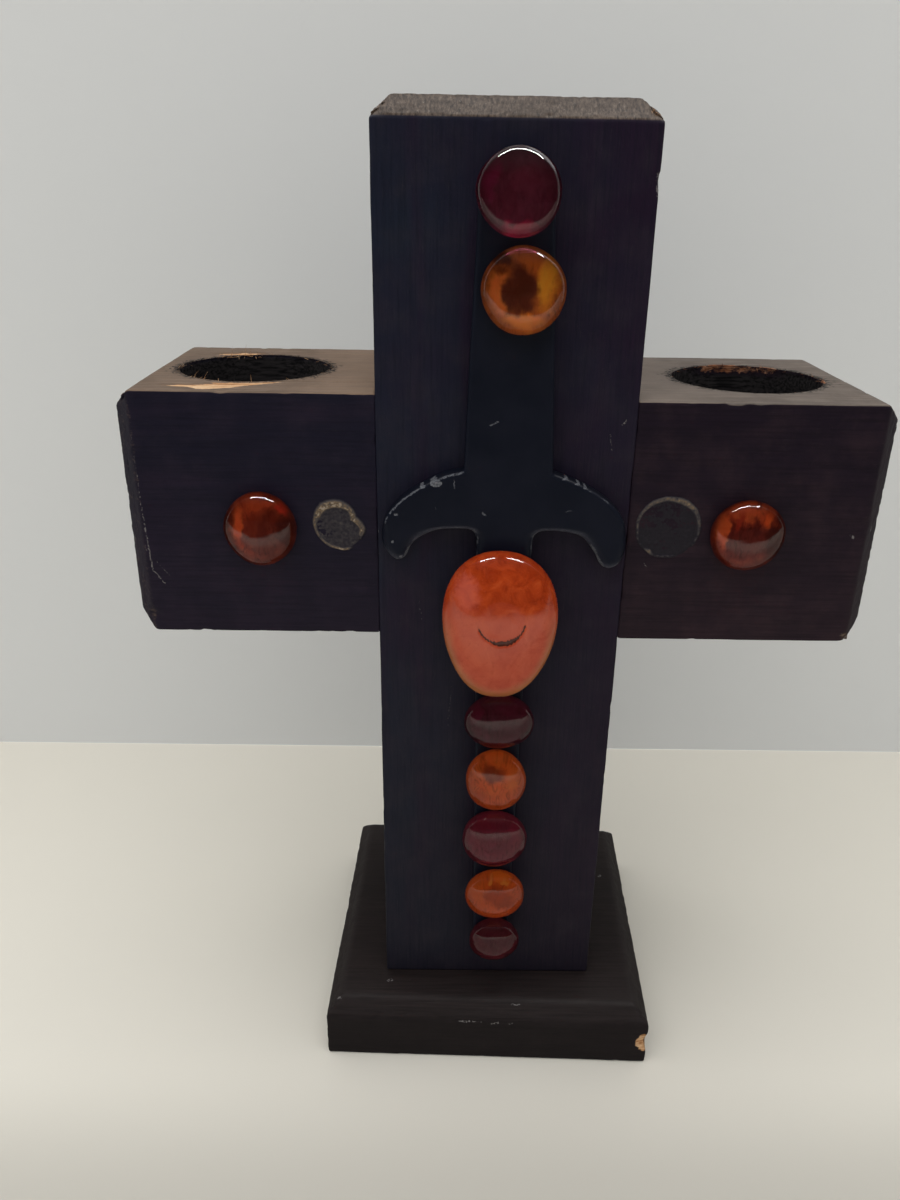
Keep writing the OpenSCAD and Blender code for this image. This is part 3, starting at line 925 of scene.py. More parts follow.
# ---------------------------------------------------------------- arms
def arm_shell(inner, outer, half, bottom, top, floor):
    """Welded points and faces of an arm along +X with a round well in its top."""
    xs = lines(inner, outer, (outer - inner) / 71.0)
    cells = len(xs) - 1
    ys = lines(-half, half, 2 * half / (cells - 11.0))
    ys = np.interp(np.linspace(0, 1, cells + 1), np.linspace(0, 1, len(ys)), ys)
    zs = lines(bottom, top, 0.82, edge=(0.2, 0.45, 0.75, 1.2, 1.75, 2.3, 2.9, 3.5, 4.1, 4.7))
    shell = box_shell(xs, ys, zs, with_top=False)
    # The top: four panels from the outline in to the well's rim
    shares = np.concatenate([
        [0.0, 0.012, 0.03, 0.055, 0.09, 0.135], np.linspace(0.19, 0.66, 12),
        [0.71, 0.75, 0.79, 0.825, 0.855, 0.88, 0.9, 0.92, 0.94, 0.96, 0.98, 1.0]])
    outlines = [columns(xs, -half, top), columns(outer, ys, top),
                columns(xs[::-1], half, top), columns(inner, ys[::-1], top)]
    quarter = np.linspace(-0.25, 0.25, cells + 1) * math.pi
    rims = []
    for turn in (-math.pi / 2, 0, math.pi / 2, math.pi):
        angle = turn + quarter
        rims.append(columns(WELL_X + WELL_RADIUS * np.cos(angle), WELL_RADIUS * np.sin(angle),
                            top))
    share = shares[None, :, None]
    for outline, rim in zip(outlines, rims):
        shell.grid(outline[:, None, :] * (1 - share) + rim[:, None, :] * share)
    # The well's wall, then its floor as a square grid bent to a disc
    deep = top - floor
    depth = np.concatenate([[0, 0.15, 0.35, 0.6, 0.95, 1.4], np.arange(1.95, deep - 0.5, 0.62),
                            [deep - 0.35, deep - 0.12, deep]])
    for rim in rims:
        shell.grid(rim[:, None, :] - depth[None, :, None] * np.eye(3)[2])
    u, v = np.meshgrid(*[np.linspace(-1, 1, cells + 1)] * 2, indexing="ij")
    share = np.maximum(np.abs(u), np.abs(v))
    angle = np.where(
        np.abs(u) >= np.abs(v),
        np.where(u >= 0, 0, math.pi) + (math.pi / 4) * (v / np.where(u == 0, 1, u)),
        np.where(v >= 0, math.pi / 2, -math.pi / 2) - (math.pi / 4) * (u / np.where(v == 0, 1, v)))
    shell.grid(columns(WELL_X + WELL_RADIUS * share * np.cos(angle),
                       WELL_RADIUS * share * np.sin(angle), floor))
    return shell.weld(1e-3)


def well_frame(points, top, floor):
    """The arm's points as seen from the well's axis."""
    x, y, z = points[:, 0] - WELL_X, points[:, 1], points[:, 2]
    radius = np.hypot(x, y)
    theta = np.arctan2(y, x)
    inside = (radius < WELL_RADIUS + 1e-3) & (z > floor - 1e-3)
    depth = top - z
    return SimpleNamespace(
        x=x, y=y, radius=radius, theta=theta, inside=inside, depth=depth,
        degrees=np.degrees(theta) % 360, rim_gap=radius - WELL_RADIUS,
        on_top=(depth < 0.4) & ~inside, wall=inside & (z > floor + 0.05))


def lobes(well, *rows):
    """Sum of bumps round the well. Rows: angle and half width in degrees, height.

    Angle 0 is the arm's outer end, 90 the back and 270 the front.
    """
    out = 0
    for centre, width, height in rows:
        away = np.abs((well.degrees - centre + 180) % 360 - 180)
        out = out + height * ease(width, width * 0.25, away)
    return out


def left_strips(well, fray):
    """Two torn strips on the left arm's top: before the front rim and behind the back rim."""
    # Columns: x from the well's axis, y and half width of the front strip
    strip = np.array([
        (-11, -18.3), (-8, -19.9), (-4, -21.5), (0, -23.2), (2.5, -24.4), (6, -25.2),
        (9, -25.6), (12, -25.0), (15.6, -24.8), (19, -25.0)])
    centre = np.interp(well.x, strip[:, 0], strip[:, 1])
    half = np.interp(well.x, [-11.5, -8, -4, 0, 2.5, 6, 9, 12, 15.6, 19],
                     [0.1, 0.9, 1.9, 3.0, 3.6, 3.8, 2.7, 1.5, 0.8, 0.0])
    front = ease(0.6, -0.5, np.abs(well.y - centre) - half * (1 + 0.55 * fray)) * (half > 0.05)
    rim = np.sqrt(np.maximum(0, WELL_RADIUS * WELL_RADIUS - well.x * well.x))
    gap = ease(0.0, 1.2, -well.y - rim)
    front = front * well.on_top * np.clip(gap + 0.8, 0, 1)
    centre = np.interp(well.x, [1.0, 7, 11, 17], [22.2, 21.4, 20.8, 19.6])
    half = np.interp(well.x, [0.5, 4, 8, 12, 17], [0.0, 1.5, 2.1, 1.5, 0.0])
    back = ease(0.5, -0.4, np.abs(well.y - centre) - half * (1 + 0.5 * fray))
    return np.maximum(front, 0.9 * (back * (half > 0.05) * well.on_top))


def torn_top(side, points, well, fray, seed):
    """Masks of the timber torn bare round the rim, and of the brown fuzzy breaks."""
    if side < 0:
        strips = left_strips(well, fray)
        width = lobes(well, (62, 16, 0.9), (8, 12, 0.8), (176, 14, 0.5))
        fuzz = ease(3.4, 1.0, well.rim_gap + 1.6 * np.abs(fray)) * lobes(well, (322, 26, 1))
        fuzz = fuzz * well.on_top
        fuzz = fuzz * ease(-0.15, 0.2, noise(points, (1.6, 0.7, 1.0), 3, seed + 91))
    else:
        strips = 0.0
        width = lobes(well, (94, 18, 2.9), (60, 20, 2.3), (354, 12, 1.5), (18, 10, 1.0))
        fuzz = ease(2.2, 0.6, well.rim_gap + 1.2 * np.abs(fray)) * well.on_top
        fuzz = fuzz * np.maximum(lobes(well, (2, 34, 1)), lobes(well, (150, 24, 0.8)))
        fuzz = fuzz * ease(0.0, 0.25, noise(points, (1.3, 0.6, 1.0), 3, seed + 91))
    tear = ease(width * (1 + fray) + 0.25, width * 0.5 - 0.05, well.rim_gap)
    tear = tear * well.on_top * (width > 0.05)
    return np.maximum(tear, strips), fuzz


def fibre(root, along, length, width, curl):
    """Twelve points of a thin tapered fibre: four triangular sections."""
    along = along / np.linalg.norm(along)
    across = np.cross(along, [0.2, 0.1, 1.0])
    across /= np.linalg.norm(across)
    up = np.cross(along, across)
    out = []
    for k in range(4):
        share = k / 3
        centre = root + along * length * share + curl * length * share * share * 0.45
        half = width * (1 - share) ** 0.8 + 0.012
        for angle in (0, 2.1, 4.2):
            out.append(centre + across * half * math.cos(angle)
                       + up * half * 0.55 * math.sin(angle))
    return np.array(out)


# Angle in degrees and length of the long hairs on each arm's rim
LONG_HAIRS = {-1: [(58, 4.2), (64, 3.4), (70, 3.9), (75, 2.8), (80, 3.2), (47, 2.6), (300, 3.0),
                   (312, 2.4), (262, 2.2)],
              1: [(80, 1.6), (95, 1.4), (350, 1.8)]}


def rim_fibres(side, top, seed):
    """Points, faces, raw and dark values of the fibres round a well's rim."""
    uniform = np.random.default_rng(seed).uniform
    points, raw, dark = [], [], []
    for _ in range(420):
        t = uniform(0, 2 * math.pi)
        degrees = math.degrees(t) % 360
        radius = WELL_RADIUS + uniform(-0.1, 0.5) + 0.8 * math.cos(t) ** 4
        root = np.array([WELL_X + radius * math.cos(t), radius * math.sin(t),
                         top - uniform(0.1, 0.5)])
        if side < 0:
            bare = 285 < degrees < 330 or 50 < degrees < 85
        else:
            bare = 45 < degrees < 118 or degrees < 16 or degrees > 344
        light = uniform() < (0.55 if bare else 0.06)
        inward = -1 if math.cos(t) > 0 else 1
        if abs(math.cos(t)) > 0.45:
            along = np.array([inward * uniform(0.4, 1.0), uniform(-0.35, 0.35),
                              uniform(-0.25, 0.55)])
            length = uniform(0.5, 1.9)
        else:
            along = np.array([uniform(-0.8, 0.8), -math.sin(t) * uniform(0.1, 0.5),
                              uniform(-0.7, 0.5)])
            length = uniform(0.4, 1.3)
        curl = np.array([uniform(-0.5, 0.5), uniform(-0.6, 0.6), uniform(-0.5, 0.4)])
        points.append(fibre(root, along, length, uniform(0.06, 0.16), curl))
        raw.append(uniform(0.75, 1.1) if light else 0.0)
        dark.append(0.0 if light else 0.9)
    for degrees, length in LONG_HAIRS[side]:
        t = math.radians(degrees)
        root = np.array([WELL_X + WELL_RADIUS * math.cos(t), WELL_RADIUS * math.sin(t),
                         top - 0.2])
        along = np.array([uniform(-0.7, 0.3), -math.sin(t) * uniform(0.1, 0.6),
                          uniform(0.5, 1.1)])
        curl = np.array([uniform(-0.8, 0.8), uniform(-0.4, 0.4), uniform(-0.5, 0.1)])
        points.append(fibre(root, along, length, 0.055, curl))
        raw.append(1.1)
        dark.append(0.0)
    one = []
    for ring in (0, 3, 6):
        for k in range(3):
            a, b = ring + k, ring + (k + 1) % 3
            one.append([a, b, b + 3, a + 3])
    one += [[2, 1, 0], [9, 10, 11]]
    faces = [[12 * j + i for i in face] for j in range(len(points)) for face in one]
    return np.vstack(points), faces, np.repeat(raw, 12), np.repeat(dark, 12)


def build_arm(side):
    """side is -1 for the left arm, 1 for the right. Shaped along +X, then mirrored if left."""
    name = "arm_left" if side < 0 else "arm_right"
    low, high = box_mm(name)
    seed = 211 if side < 0 else 311
    half = (high[1] - low[1]) / 2
    inner, outer = sorted((abs(low[0]), abs(high[0])))
    bottom, top = low[2], high[2]
    floor = top - WELL_DEPTH
    points, faces = arm_shell(inner, outer, half, bottom, top, floor)
    planes = box_planes((inner, -half, bottom), (outer, half, top), ARM_CHAMFER,
                        ((1, 1, 0), (1, -1, 0), (1, 0, 1), (1, 0, -1)))
    well = well_frame(points, top, floor)
    points = np.where(well.inside[:, None], points, project(points, planes, blend=0.6))
    # Measured again outside the well, where the points have moved
    inside = well.inside
    radius = np.hypot(points[:, 0] - WELL_X, points[:, 1])
    del radius
    normals = point_normals(points, faces)
    edge = edge_distance(points, planes)
    well.depth = top - points[:, 2]
    well.on_top = (well.depth < 0.4) & ~inside
    well.wall = inside & (points[:, 2] > floor + 0.05)
    well.x, well.y = points[:, 0] - WELL_X, points[:, 1]
    theta, wall, on_top, rim_gap = well.theta, well.wall, well.on_top, well.rim_gap
    end_grain = ease(0.45, 0.8, np.abs(normals[:, 0])) * (~inside)

    # The well's wall is torn across the grain at its two ends, cut cleanly along it
    across_grain = np.cos(theta) ** 2
    out = timber_relief(points, normals, 0, seed, end_grain=end_grain)
    out = out + np.where(inside, 0.0, 0.05)
    ring = columns(theta * 20, 0, points[:, 2])
    wall_out = (0.1 * noise(ring, (1.2, 1, 0.8), 2, seed + 5)
                + across_grain * 0.35 * noise(ring, (0.55, 1, 5.0), 3, seed + 6)
                + 0.06 * np.sin(points[:, 2] * 2 * math.pi / 1.7))
    out = np.where(wall, wall_out * ease(0.0, 0.8, well.depth), out)
    # Fine rings on the floor round a centre hole
    floor_out = 0.06 * np.sin(well.radius * 2 * math.pi / 1.1)
    floor_out = floor_out + 0.1 * noise(points, 2.2, 3, seed + 9)
    out = np.where(inside & ~wall, floor_out - 1.9 * ease(2.4, 0.0, well.radius), out)
    chip, chipped = edge_chips(points, edge, seed + 21, depth=0.4)
    out = out - np.where(inside, 0, chip)

    fray = noise(points, (3.4, 0.9, 1.0), 3, seed + 33, gain=0.6)
    ragged = 0.5 + 0.5 * noise(points, (2.6, 0.5, 1.0), 3, seed + 41)
    tear, fuzz = torn_top(side, points, well, fray, seed)
    out = out - tear * (0.14 + 0.5 * ragged)
    # The rim is broken back in small teeth, deeper where the grain ends in the well
    teeth = 0.34 * np.abs(noise(columns(theta * 20, 0, 0), (0.75, 1, 1), 2, seed + 61))
    across = noise(columns(0, points[:, 1], 0), (1, 0.55, 1), 2, seed + 63)
    teeth = teeth + across_grain ** 2 * 1.5 * np.maximum(0, across + 0.12)
    fade = np.where(inside, ease(3.4, 0.0, well.depth), ease(3.2, 0.0, rim_gap))
    shift = teeth * fade * (wall | on_top)
    points = points + columns(np.cos(theta) * shift, np.sin(theta) * shift, 0)
    lip = ease(0.8, 0.0, np.abs(rim_gap)) * on_top
    out = out - lip * (0.1 + 0.16 * np.abs(noise(points, (2.0, 0.7, 1.0), 2, seed + 43)))
    x, y = points[:, 0], points[:, 1]
    if side < 0:
        # A scraped strip along the outer front chamfer, and a nick at its foot
        nick, nicked = dent(points, (outer - 4.4, -half + 0.2, bottom + 4.5), 2.6, 0.7)
        strip = ease(3.6, 2.2, np.abs(x - (outer - 2.2))) * (y < -half + 4.6)
        patchy = np.maximum(0, noise(points, (3, 3, 16), 3, seed + 47))
        spot = 0.15 * nicked + strip * (0.22 + 0.25 * patchy)
    else:
        nick, nicked = dent(points, (outer - 4.6, -half + 0.4, bottom + 1.4), 2.2, 0.45)
        spot = 0.6 * nicked
    out = out - nick
    shaped = points + normals * out[:, None]
    # The joint face stays flat and just clear of the post
    shaped[:, 0] = np.where(x < inner + 0.25, np.maximum(shaped[:, 0], inner + 0.02),
                            shaped[:, 0])

    end = ease(outer - ARM_CHAMFER - 0.4, outer - ARM_CHAMFER + 0.6, x)
    worn_edge = 0.22 * ease(0.9, 0.0, edge) * (0.55 + noise(points, 8, 2, seed + 51))
    wear = 0.14 * chipped + worn_edge * (1 - inside) + 0.1 * end + spot
    wear = np.maximum(wear * (1 - 0.8 * inside), 0.9 * fuzz)
    raw = np.maximum(tear * (0.62 + 0.45 * fray + 0.3 * ragged), 0.42 * fuzz)
    if side < 0:
        bare = wall * ease(0.9, 0.0, well.depth) * lobes(well, (300, 34, 0.75), (70, 20, 0.5))
    else:
        reach = well.depth + 1.2 * noise(ring, (0.9, 1, 9.0), 2, seed + 71)
        bare = wall * ease(3.4, 1.2, reach) * lobes(well, (96, 34, 0.86), (60, 24, 0.7))
    raw = np.maximum(raw, bare * (0.62 + 0.5 * fray))
    dark = np.where(inside, ease(0.0, 1.2, well.depth), 0.0) * (1 - np.clip(bare * 1.6, 0, 1))
    notches = noise(columns(theta * 20, well.radius * 0.4, 0), (0.42, 1.0, 1), 3, seed + 81,
                    gain=0.65)
    notches = np.abs(notches) * (0.7 + 1.6 * across_grain)
    dark_rim = on_top * ease(0.12, -0.12, rim_gap - 0.1 - 4.2 * notches)
    dark_rim = dark_rim * (1 - 0.85 * np.clip(tear * 2, 0, 1)) * (1 - 0.6 * fuzz)
    dark = np.maximum(dark, dark_rim)

    hairs, hair_faces, hair_raw, hair_dark = rim_fibres(side, top, seed)
    mirror = np.array([side, 1.0, 1.0])
    if side < 0:
        faces = [f[::-1] for f in faces]
        hair_faces = [f[::-1] for f in hair_faces]
    ob = new_mesh(name + "_timber_shell", shaped * mirror, faces, wear=wear, raw=raw, dark=dark)
    _, dowel_end, dowel_y, dowel_z = dowels(side)
    drill(ob, [((side * (inner - 1.0), s * dowel_y, dowel_z), (side, 0, 0),
                dowel_end - inner + 1.5, DOWEL_HOLE_RADIUS, DOWEL_HOLE_RADIUS)
               for s in (-1, 1)])
    # The fibres join after drilling, so that the cut runs on a closed shape
    mesh = ob.data
    points = get_points(mesh)
    faces = [list(polygon.vertices) for polygon in mesh.polygons]
    faces += [[i + len(points) for i in f] for f in hair_faces]
    extra = {"wear": np.zeros(len(hairs)), "raw": hair_raw, "dark": hair_dark}
    values = {key: np.concatenate([get_attribute(mesh, key), more])
              for key, more in extra.items()}
    bpy.data.objects.remove(ob)
    ob = new_mesh(name + "_timber", np.vstack([points, hairs * mirror]), faces, **values)
    ob.data.set_sharp_from_angle(angle=math.radians(75))
    return ob


# ---------------------------------------------------------------- gems and stone
def dome_rows(flats, tuck, rim_steps, rim_height, thick, steps, power):
    """Share of the outline and height of each ring: flat back, bulging rim, then dome."""
    rows = [(share, 0.0) for share in flats]
    for s in np.linspace(-math.pi / 2, 0, rim_steps):
        rows.append((1 - tuck * (1 - math.cos(s)), rim_height + rim_height * math.sin(s)))
    for k in range(1, steps + 1):
        s = k / steps * math.pi / 2
        share = math.cos(s) ** (2 / power) if k < steps else 0.0
        rows.append((share, rim_height + (thick - rim_height) * math.sin(s) ** (2 / power)))
    return rows


def build_gem(name, node, stretch, seed, tilt):
    """A flat-backed poured glass gem; tilt moves its crown up, as a share of its half height.

    Also returns its centre x and z, its half sizes and the y of its back.
    """
    centre_x, centre_z, half_x, half_z, front, back = face_box(node)
    half_x, half_z = half_x * stretch[0], half_z * stretch[1]
    thick = back - front
    rim_height = 0.21 * thick
    sides = 128
    theta = np.linspace(0, 2 * math.pi, sides, endpoint=False)
    rng = np.random.default_rng(seed)
    outline = np.ones(sides)
    for k in (2, 3, 4, 5):
        outline += (0.02 / k * 1.6 * rng.uniform(-1, 1)
                    * np.cos(k * theta + rng.uniform(0, 6.28)))
    tuck = 0.205 * 0.55
    flats = [share * (1 - tuck) for share in (0.18, 0.4, 0.6, 0.76, 0.86)]
    rows = dome_rows(flats, tuck, rim_steps=7, rim_height=rim_height, thick=thick, steps=26,
                     power=2.15)
    parts = []
    for share, height in rows[:-1]:
        # The outline's wobble fades towards the crown
        reach = share * (1 + (outline - 1) * min(1.0, 0.25 + share))
        parts.append(columns(half_x * reach * np.cos(theta), height,
                             half_z * reach * np.sin(theta)))
    points = np.vstack(parts + [[[0.0, rows[-1][1], 0.0], [0.0, 0.0, 0.0]]])
    tip = (len(rows) - 1) * sides
    faces = loft_faces(0, len(rows) - 1, sides, start_cap=tip + 1, end_cap=tip)
    height = points[:, 1].copy()
    points[:, 2] += ease(rim_height, thick, height) * tilt * half_z
    lump = noise(points + seed * 31.0, 7.5, 2, seed)
    height = height + 0.17 * lump * ease(rim_height * 0.8, thick, height) * (thick / 6.4)
    ob = new_mesh(name, columns(centre_x + points[:, 0], back - height,
                                centre_z + points[:, 2]), faces)
    fix_normals(ob)
    return ob, (centre_x, centre_z), (half_x, half_z), back


def build_stone():
    """The egg-shaped stone; the dimple's lower edge is a thin crescent groove."""
    _, _, half_x, half_z, front, back = face_box("stone_oval")
    thick = back - front
    sides = 220
    theta = np.linspace(0, 2 * math.pi, sides, endpoint=False)
    cos, sin = np.cos(theta), np.sin(theta)
    # A superellipse whose width narrows downwards
    power = np.where(sin < 0, 0.93 - 0.1 * np.minimum(1, -sin * 1.5), 0.93)
    out_x = half_x * np.sign(cos) * np.abs(cos) ** power
    out_z = half_z * np.sign(sin) * np.abs(sin) ** 0.96
    share = out_z / half_z
    out_x = out_x * (1 + 0.08 * share - 0.052 * share ** 2 * (out_z < 0))
    out_x *= half_x / np.abs(out_x).max()
    out_x = out_x + 0.25 * np.sin(2 * theta + 0.6)
    rim_height = 1.7
    crown = 4.6               # the highest point sits this far above the middle
    rows = dome_rows((0.15, 0.35, 0.55, 0.74, 0.88), tuck=0.07, rim_steps=8,
                     rim_height=rim_height, thick=thick, steps=74, power=2.25)
    parts = []
    for share, height in rows[:-1]:
        up = crown * (1 - share) if height > rim_height else 0.0
        parts.append(columns(out_x * share, height, out_z * share + up))
    points = np.vstack(parts + [[[0.0, rows[-1][1], crown], [0.0, 0.0, 0.0]]])
    tip = (len(rows) - 1) * sides
    faces = loft_faces(0, len(rows) - 1, sides, start_cap=tip + 1, end_cap=tip)
    height = points[:, 1].copy()
    domed = ease(rim_height, rim_height + 1.5, height)
    height += domed * 0.1 * noise(points + 5.0, 9.0, 2, 77)
    dimple_x, dimple_z, dimple_radius = DIMPLE
    dx, dz = points[:, 0] + STONE_X - dimple_x, points[:, 2] + STONE_Z - dimple_z
    radius = np.hypot(dx, dz)
    # Angle from straight down, positive to the right
    angle = np.degrees(np.arctan2(dz, dx)) + 90
    angle = (angle + 180) % 360 - 180
    ragged = noise(points + 9.0, 1.4, 2, 79)
    width = 0.24 + 0.5 * ease(46, 8, np.abs(angle - 12))
    groove = ease(width + 0.12, width - 0.18, np.abs(radius - dimple_radius) + 0.1 * ragged)
    groove = groove * ease(-78, -66, angle) * ease(88, 76, angle) * domed
    groove = groove * np.clip(1.15 + 1.3 * ragged, 0.15, 1)
    height -= 0.28 * groove
    height -= 0.1 * ease(dimple_radius, dimple_radius * 0.55, radius) * domed
    shaped = columns(STONE_X + points[:, 0], back - height, STONE_Z + points[:, 2])
    ob = new_mesh("stone_oval_cabochon", shaped, faces, groove=groove)
    fix_normals(ob)
    return ob


# ---------------------------------------------------------------- sword
# The guard's outline (x, z), from under its right side round its end to the grip
GUARD_RIGHT = [
    (7.7, 167.6), (9.4, 169.0), (13.7, 169.2), (18.2, 168.4), (20.6, 167.0), (23.1, 163.8),
    (25.0, 160.4), (27.2, 159.3), (29.7, 160.6), (31.0, 163.9), (31.0, 167.8), (29.9, 172.3),
    (27.4, 175.9), (23.6, 178.9), (19.6, 181.2), (15.5, 183.0), (11.6, 184.4)]
# The same on the left, from the grip round its end to the blade
GUARD_LEFT = [
    (-10.2, 184.7), (-14.9, 183.5), (-19.7, 181.2), (-24.5, 178.1), (-28.2, 174.4),
    (-30.0, 171.1), (-30.6, 166.9), (-29.5, 163.5), (-26.9, 161.0), (-24.6, 161.9),
    (-23.0, 165.1), (-20.4, 167.4), (-16.1, 169.2), (-10.8, 169.6), (-7.8, 169.0),
    (-6.8, 167.2)]
# Worn spots: x, z, half width, half height, strength
SWORD_CHIPS = [
    (-16.9, 181.7, 1.7, 1.15, 1.3), (-26.7, 173.5, 0.8, 0.5, 1.0),
    (-27.6, 166.4, 0.5, 0.7, 0.9), (-30.6, 170.6, 0.6, 0.9, 1.0),
    (-20.3, 180.7, 0.9, 0.4, 0.9), (14.5, 183.1, 1.0, 0.36, 0.9),
    (17.7, 181.9, 0.9, 0.36, 1.0), (19.6, 181.1, 0.6, 0.4, 1.0),
    (-25.8, 162.4, 0.6, 0.5, 0.7), (29.0, 160.4, 0.8, 0.5, 0.7)]
# Lines of rubbed paint (x, z) along the guard's upper edge, heavy on the left, fine on the right
RUBBED_LEFT = [[(-10.2, 184.5), (-14.8, 183.3), (-18.2, 181.8)],
               [(-19.7, 180.9), (-22.2, 179.5), (-24.4, 177.9), (-26.8, 175.7), (-28.3, 173.9)],
               [(-29.0, 172.6), (-29.7, 170.9)]]
RUBBED_RIGHT = [[(13.6, 183.5), (15.4, 182.8)], [(16.9, 182.2), (18.6, 181.5)],
                [(19.5, 180.9), (21.2, 180.1)], [(23.6, 178.6), (25.6, 177.2)]]


def smooth_path(path, steps=5):
    """Catmull-Rom curve through the points, with steps between each two."""
    path = [np.array(p, float) for p in path]
    out = []
    for i in range(len(path) - 1):
        before, start, end = path[max(0, i - 1)], path[i], path[i + 1]
        after = path[min(len(path) - 1, i + 2)]
        for f in np.linspace(0, 1, steps, endpoint=False):
            spot = (2 * start + (end - before) * f
                    + (2 * before - 5 * start + 4 * end - after) * f * f
                    + (3 * start - before - 3 * end + after) * f ** 3)
            out.append(tuple(spot / 2))
    out.append(tuple(path[-1]))
    return out


def sword_outline(point, top):
    """The sword's outline (x, z), anticlockwise from the blade's point."""
    return [(1.0, point), (5.6, point + 11), (6.4, 100.0), (7.0, 150.0), (7.3, 160.0),
            *smooth_path(GUARD_RIGHT),
            (11.5, 188.0), (10.4, 212.0), (9.4, 232.0), (8.8, top - 6), (7.3, top - 2.4),
            (4.0, top), (-3.2, top), (-6.5, top - 2.4), (-8.0, top - 6),
            (-8.5, 232.0), (-9.3, 212.0), (-10.1, 188.0),
            *smooth_path(GUARD_LEFT),
            (-6.6, 160.0), (-6.3, 150.0), (-5.6, 100.0), (-4.9, point + 11), (-0.2, point)]


def outline_distance(spots, outline):
    """Distance of 2D points from a closed outline."""
    best = np.full(len(spots), 1e9)
    corners = np.array(outline + [outline[0]])
    for start, end in zip(corners[:-1], corners[1:]):
        line = end - start
        squared = (line * line).sum()
        if squared < 1e-9:
            continue
        along = np.clip(((spots - start) @ line) / squared, 0, 1)
        away = np.hypot(*(spots - (start + along[:, None] * line)).T)
        best = np.minimum(best, away)
    return best


def sword_blank(outline, front, back):
    """The outline extruded flat and remeshed evenly."""
    curve = bpy.data.curves.new("sword_curve", "CURVE")
    curve.dimensions = "2D"
    curve.fill_mode = "BOTH"
    spline = curve.splines.new("POLY")
    spline.points.add(len(outline) - 1)
    for point, (x, z) in zip(spline.points, outline):
        point.co = (x * MM, z * MM, 0, 1)
    spline.use_cyclic_u = True
    curve.extrude = (back - front) / 2 * MM
    ob = link_object("sword_tmp", curve)
    bpy.context.view_layer.update()
    mesh = bpy.data.meshes.new_from_object(ob)
    bpy.data.objects.remove(ob)
    mesh.transform(Matrix.Rotation(math.radians(90), 4, "X"))
    mesh.transform(Matrix.Translation((0, (front + back) / 2 * MM, 0)))
    ob = link_object("sword_cutout", mesh)
    fix_normals(ob, merge=1e-6)
    remesh = ob.modifiers.new("remesh", "REMESH")
    remesh.mode = "VOXEL"
    remesh.voxel_size = 0.00036
    remesh.adaptivity = 0.0
    apply_modifiers(ob)
    return ob


def sword_wear_and_underside_reflection(points, outline, back):
    """How far the paint is rubbed off at each point, and where a floor reflection is painted under
    the guard.
    """
    edge = outline_distance(points[:, [0, 2]], outline)
    x, y, z = points.T
    rough = noise(points, 1.1, 3, 411)
    raised = y < back - 2.6
    # A fine line along the guard's upper left edge, broken at x = -19
    line = ease(0.62, 0.3, edge + 0.3 * rough) * raised * (z > 174.0) * (z < 186.0)
    span = ease(-9.4, -10.2, x) * ease(-29.2, -28.2, x)
    span = span * (1 - ease(0.9, 0.6, np.abs(x + 19.0)))
    wear = 0.35 * line * span * np.clip(0.75 + 1.1 * noise(points, 2.2, 2, 419), 0.35, 1)
    # Fainter along the right
    span = ease(12.5, 14.5, x) * ease(27.5, 25.0, x)
    span = span * (0.45 + 0.5 * np.maximum(0, noise(points, 2.4, 2, 413)))
    wear = wear + 0.3 * line * span
    # The guard's two ends
    ends = ease(0.8, 0.3, edge + 0.25 * rough) * raised
    ends = ends * (((x > 22) & (z < 171)) | ((x < -22) & (z < 165)))
    wear = wear + ends * (0.42 + 0.5 * np.maximum(0, noise(points, 3.0, 2, 417)))
    # The guard's underside, clear of the blade: a painted floor reflection, not wear
    under = ease(2.1, 0.4, edge + 0.2 * rough) * raised * (z < 171) * (z > 160)
    under = under * (np.abs(x) < 26) * (np.abs(x - 0.4) > 6.5)
    wear = wear + 0.6 * under
    for spot_x, spot_z, half_x, half_z, strength in SWORD_CHIPS:
        away = np.hypot((x - spot_x) / half_x, (z - spot_z) / half_z) * (1 + 0.45 * rough)
        wear = wear + strength * ease(1.0, 0.6, away) * (y < back - 1.0)
    return np.clip(wear, 0, 1.3)


def build_sword():
    low, high = box_mm("sword")
    front, back = low[1], high[1]
    outline = sword_outline(point=low[2], top=high[2])
    ob = sword_blank(outline, front, back)
    # Rounded front edges, the guard's undersides rounder than its upper edges
    points = get_points(ob.data)
    z = points[:, 2]
    edge = outline_distance(points[:, [0, 2]], outline)
    under = ease(172.5, 168.5, z) * ease(150, 158, z)
    radius = np.where(z < 158, 0.45, 0.8) + 1.7 * under
    inset = radius - np.minimum(edge, radius)
    drop = radius - np.sqrt(np.maximum(0, radius * radius - inset ** 2))
    points[:, 1] = np.maximum(points[:, 1], front + drop)
    raised = points[:, 1] < back - 0.6
    lump = 0.09 * noise(points, 11.0, 2, 401) + 0.035 * noise(points, 2.6, 2, 402)
    points[:, 1] -= np.where(raised, lump, 0.0)
    points[:, 1] = np.clip(points[:, 1], front - 0.05, back)
    flat_back = points[:, 1] > back - 0.2
    set_points(ob.data, points)
    ob.data.update()
    smooth = ob.modifiers.new("smooth", "SMOOTH")
    smooth.iterations = 2
    smooth.factor = 0.5
    apply_modifiers(ob)

    mesh = ob.data
    points = get_points(mesh)
    points[:, 1] = np.where(flat_back, back, points[:, 1])
    # Rubbed paint, and the painted reflection under the guard, kept as wear
    wear = sword_wear_and_underside_reflection(points, outline, back)
    points[:, 1] += 0.1 * ease(0.5, 0.9, wear) * (points[:, 1] < back - 1.0)
    set_points(mesh, points)
    add_attribute(mesh, "wear", wear)
    shade_smooth(mesh)
    mesh.update()
    return ob


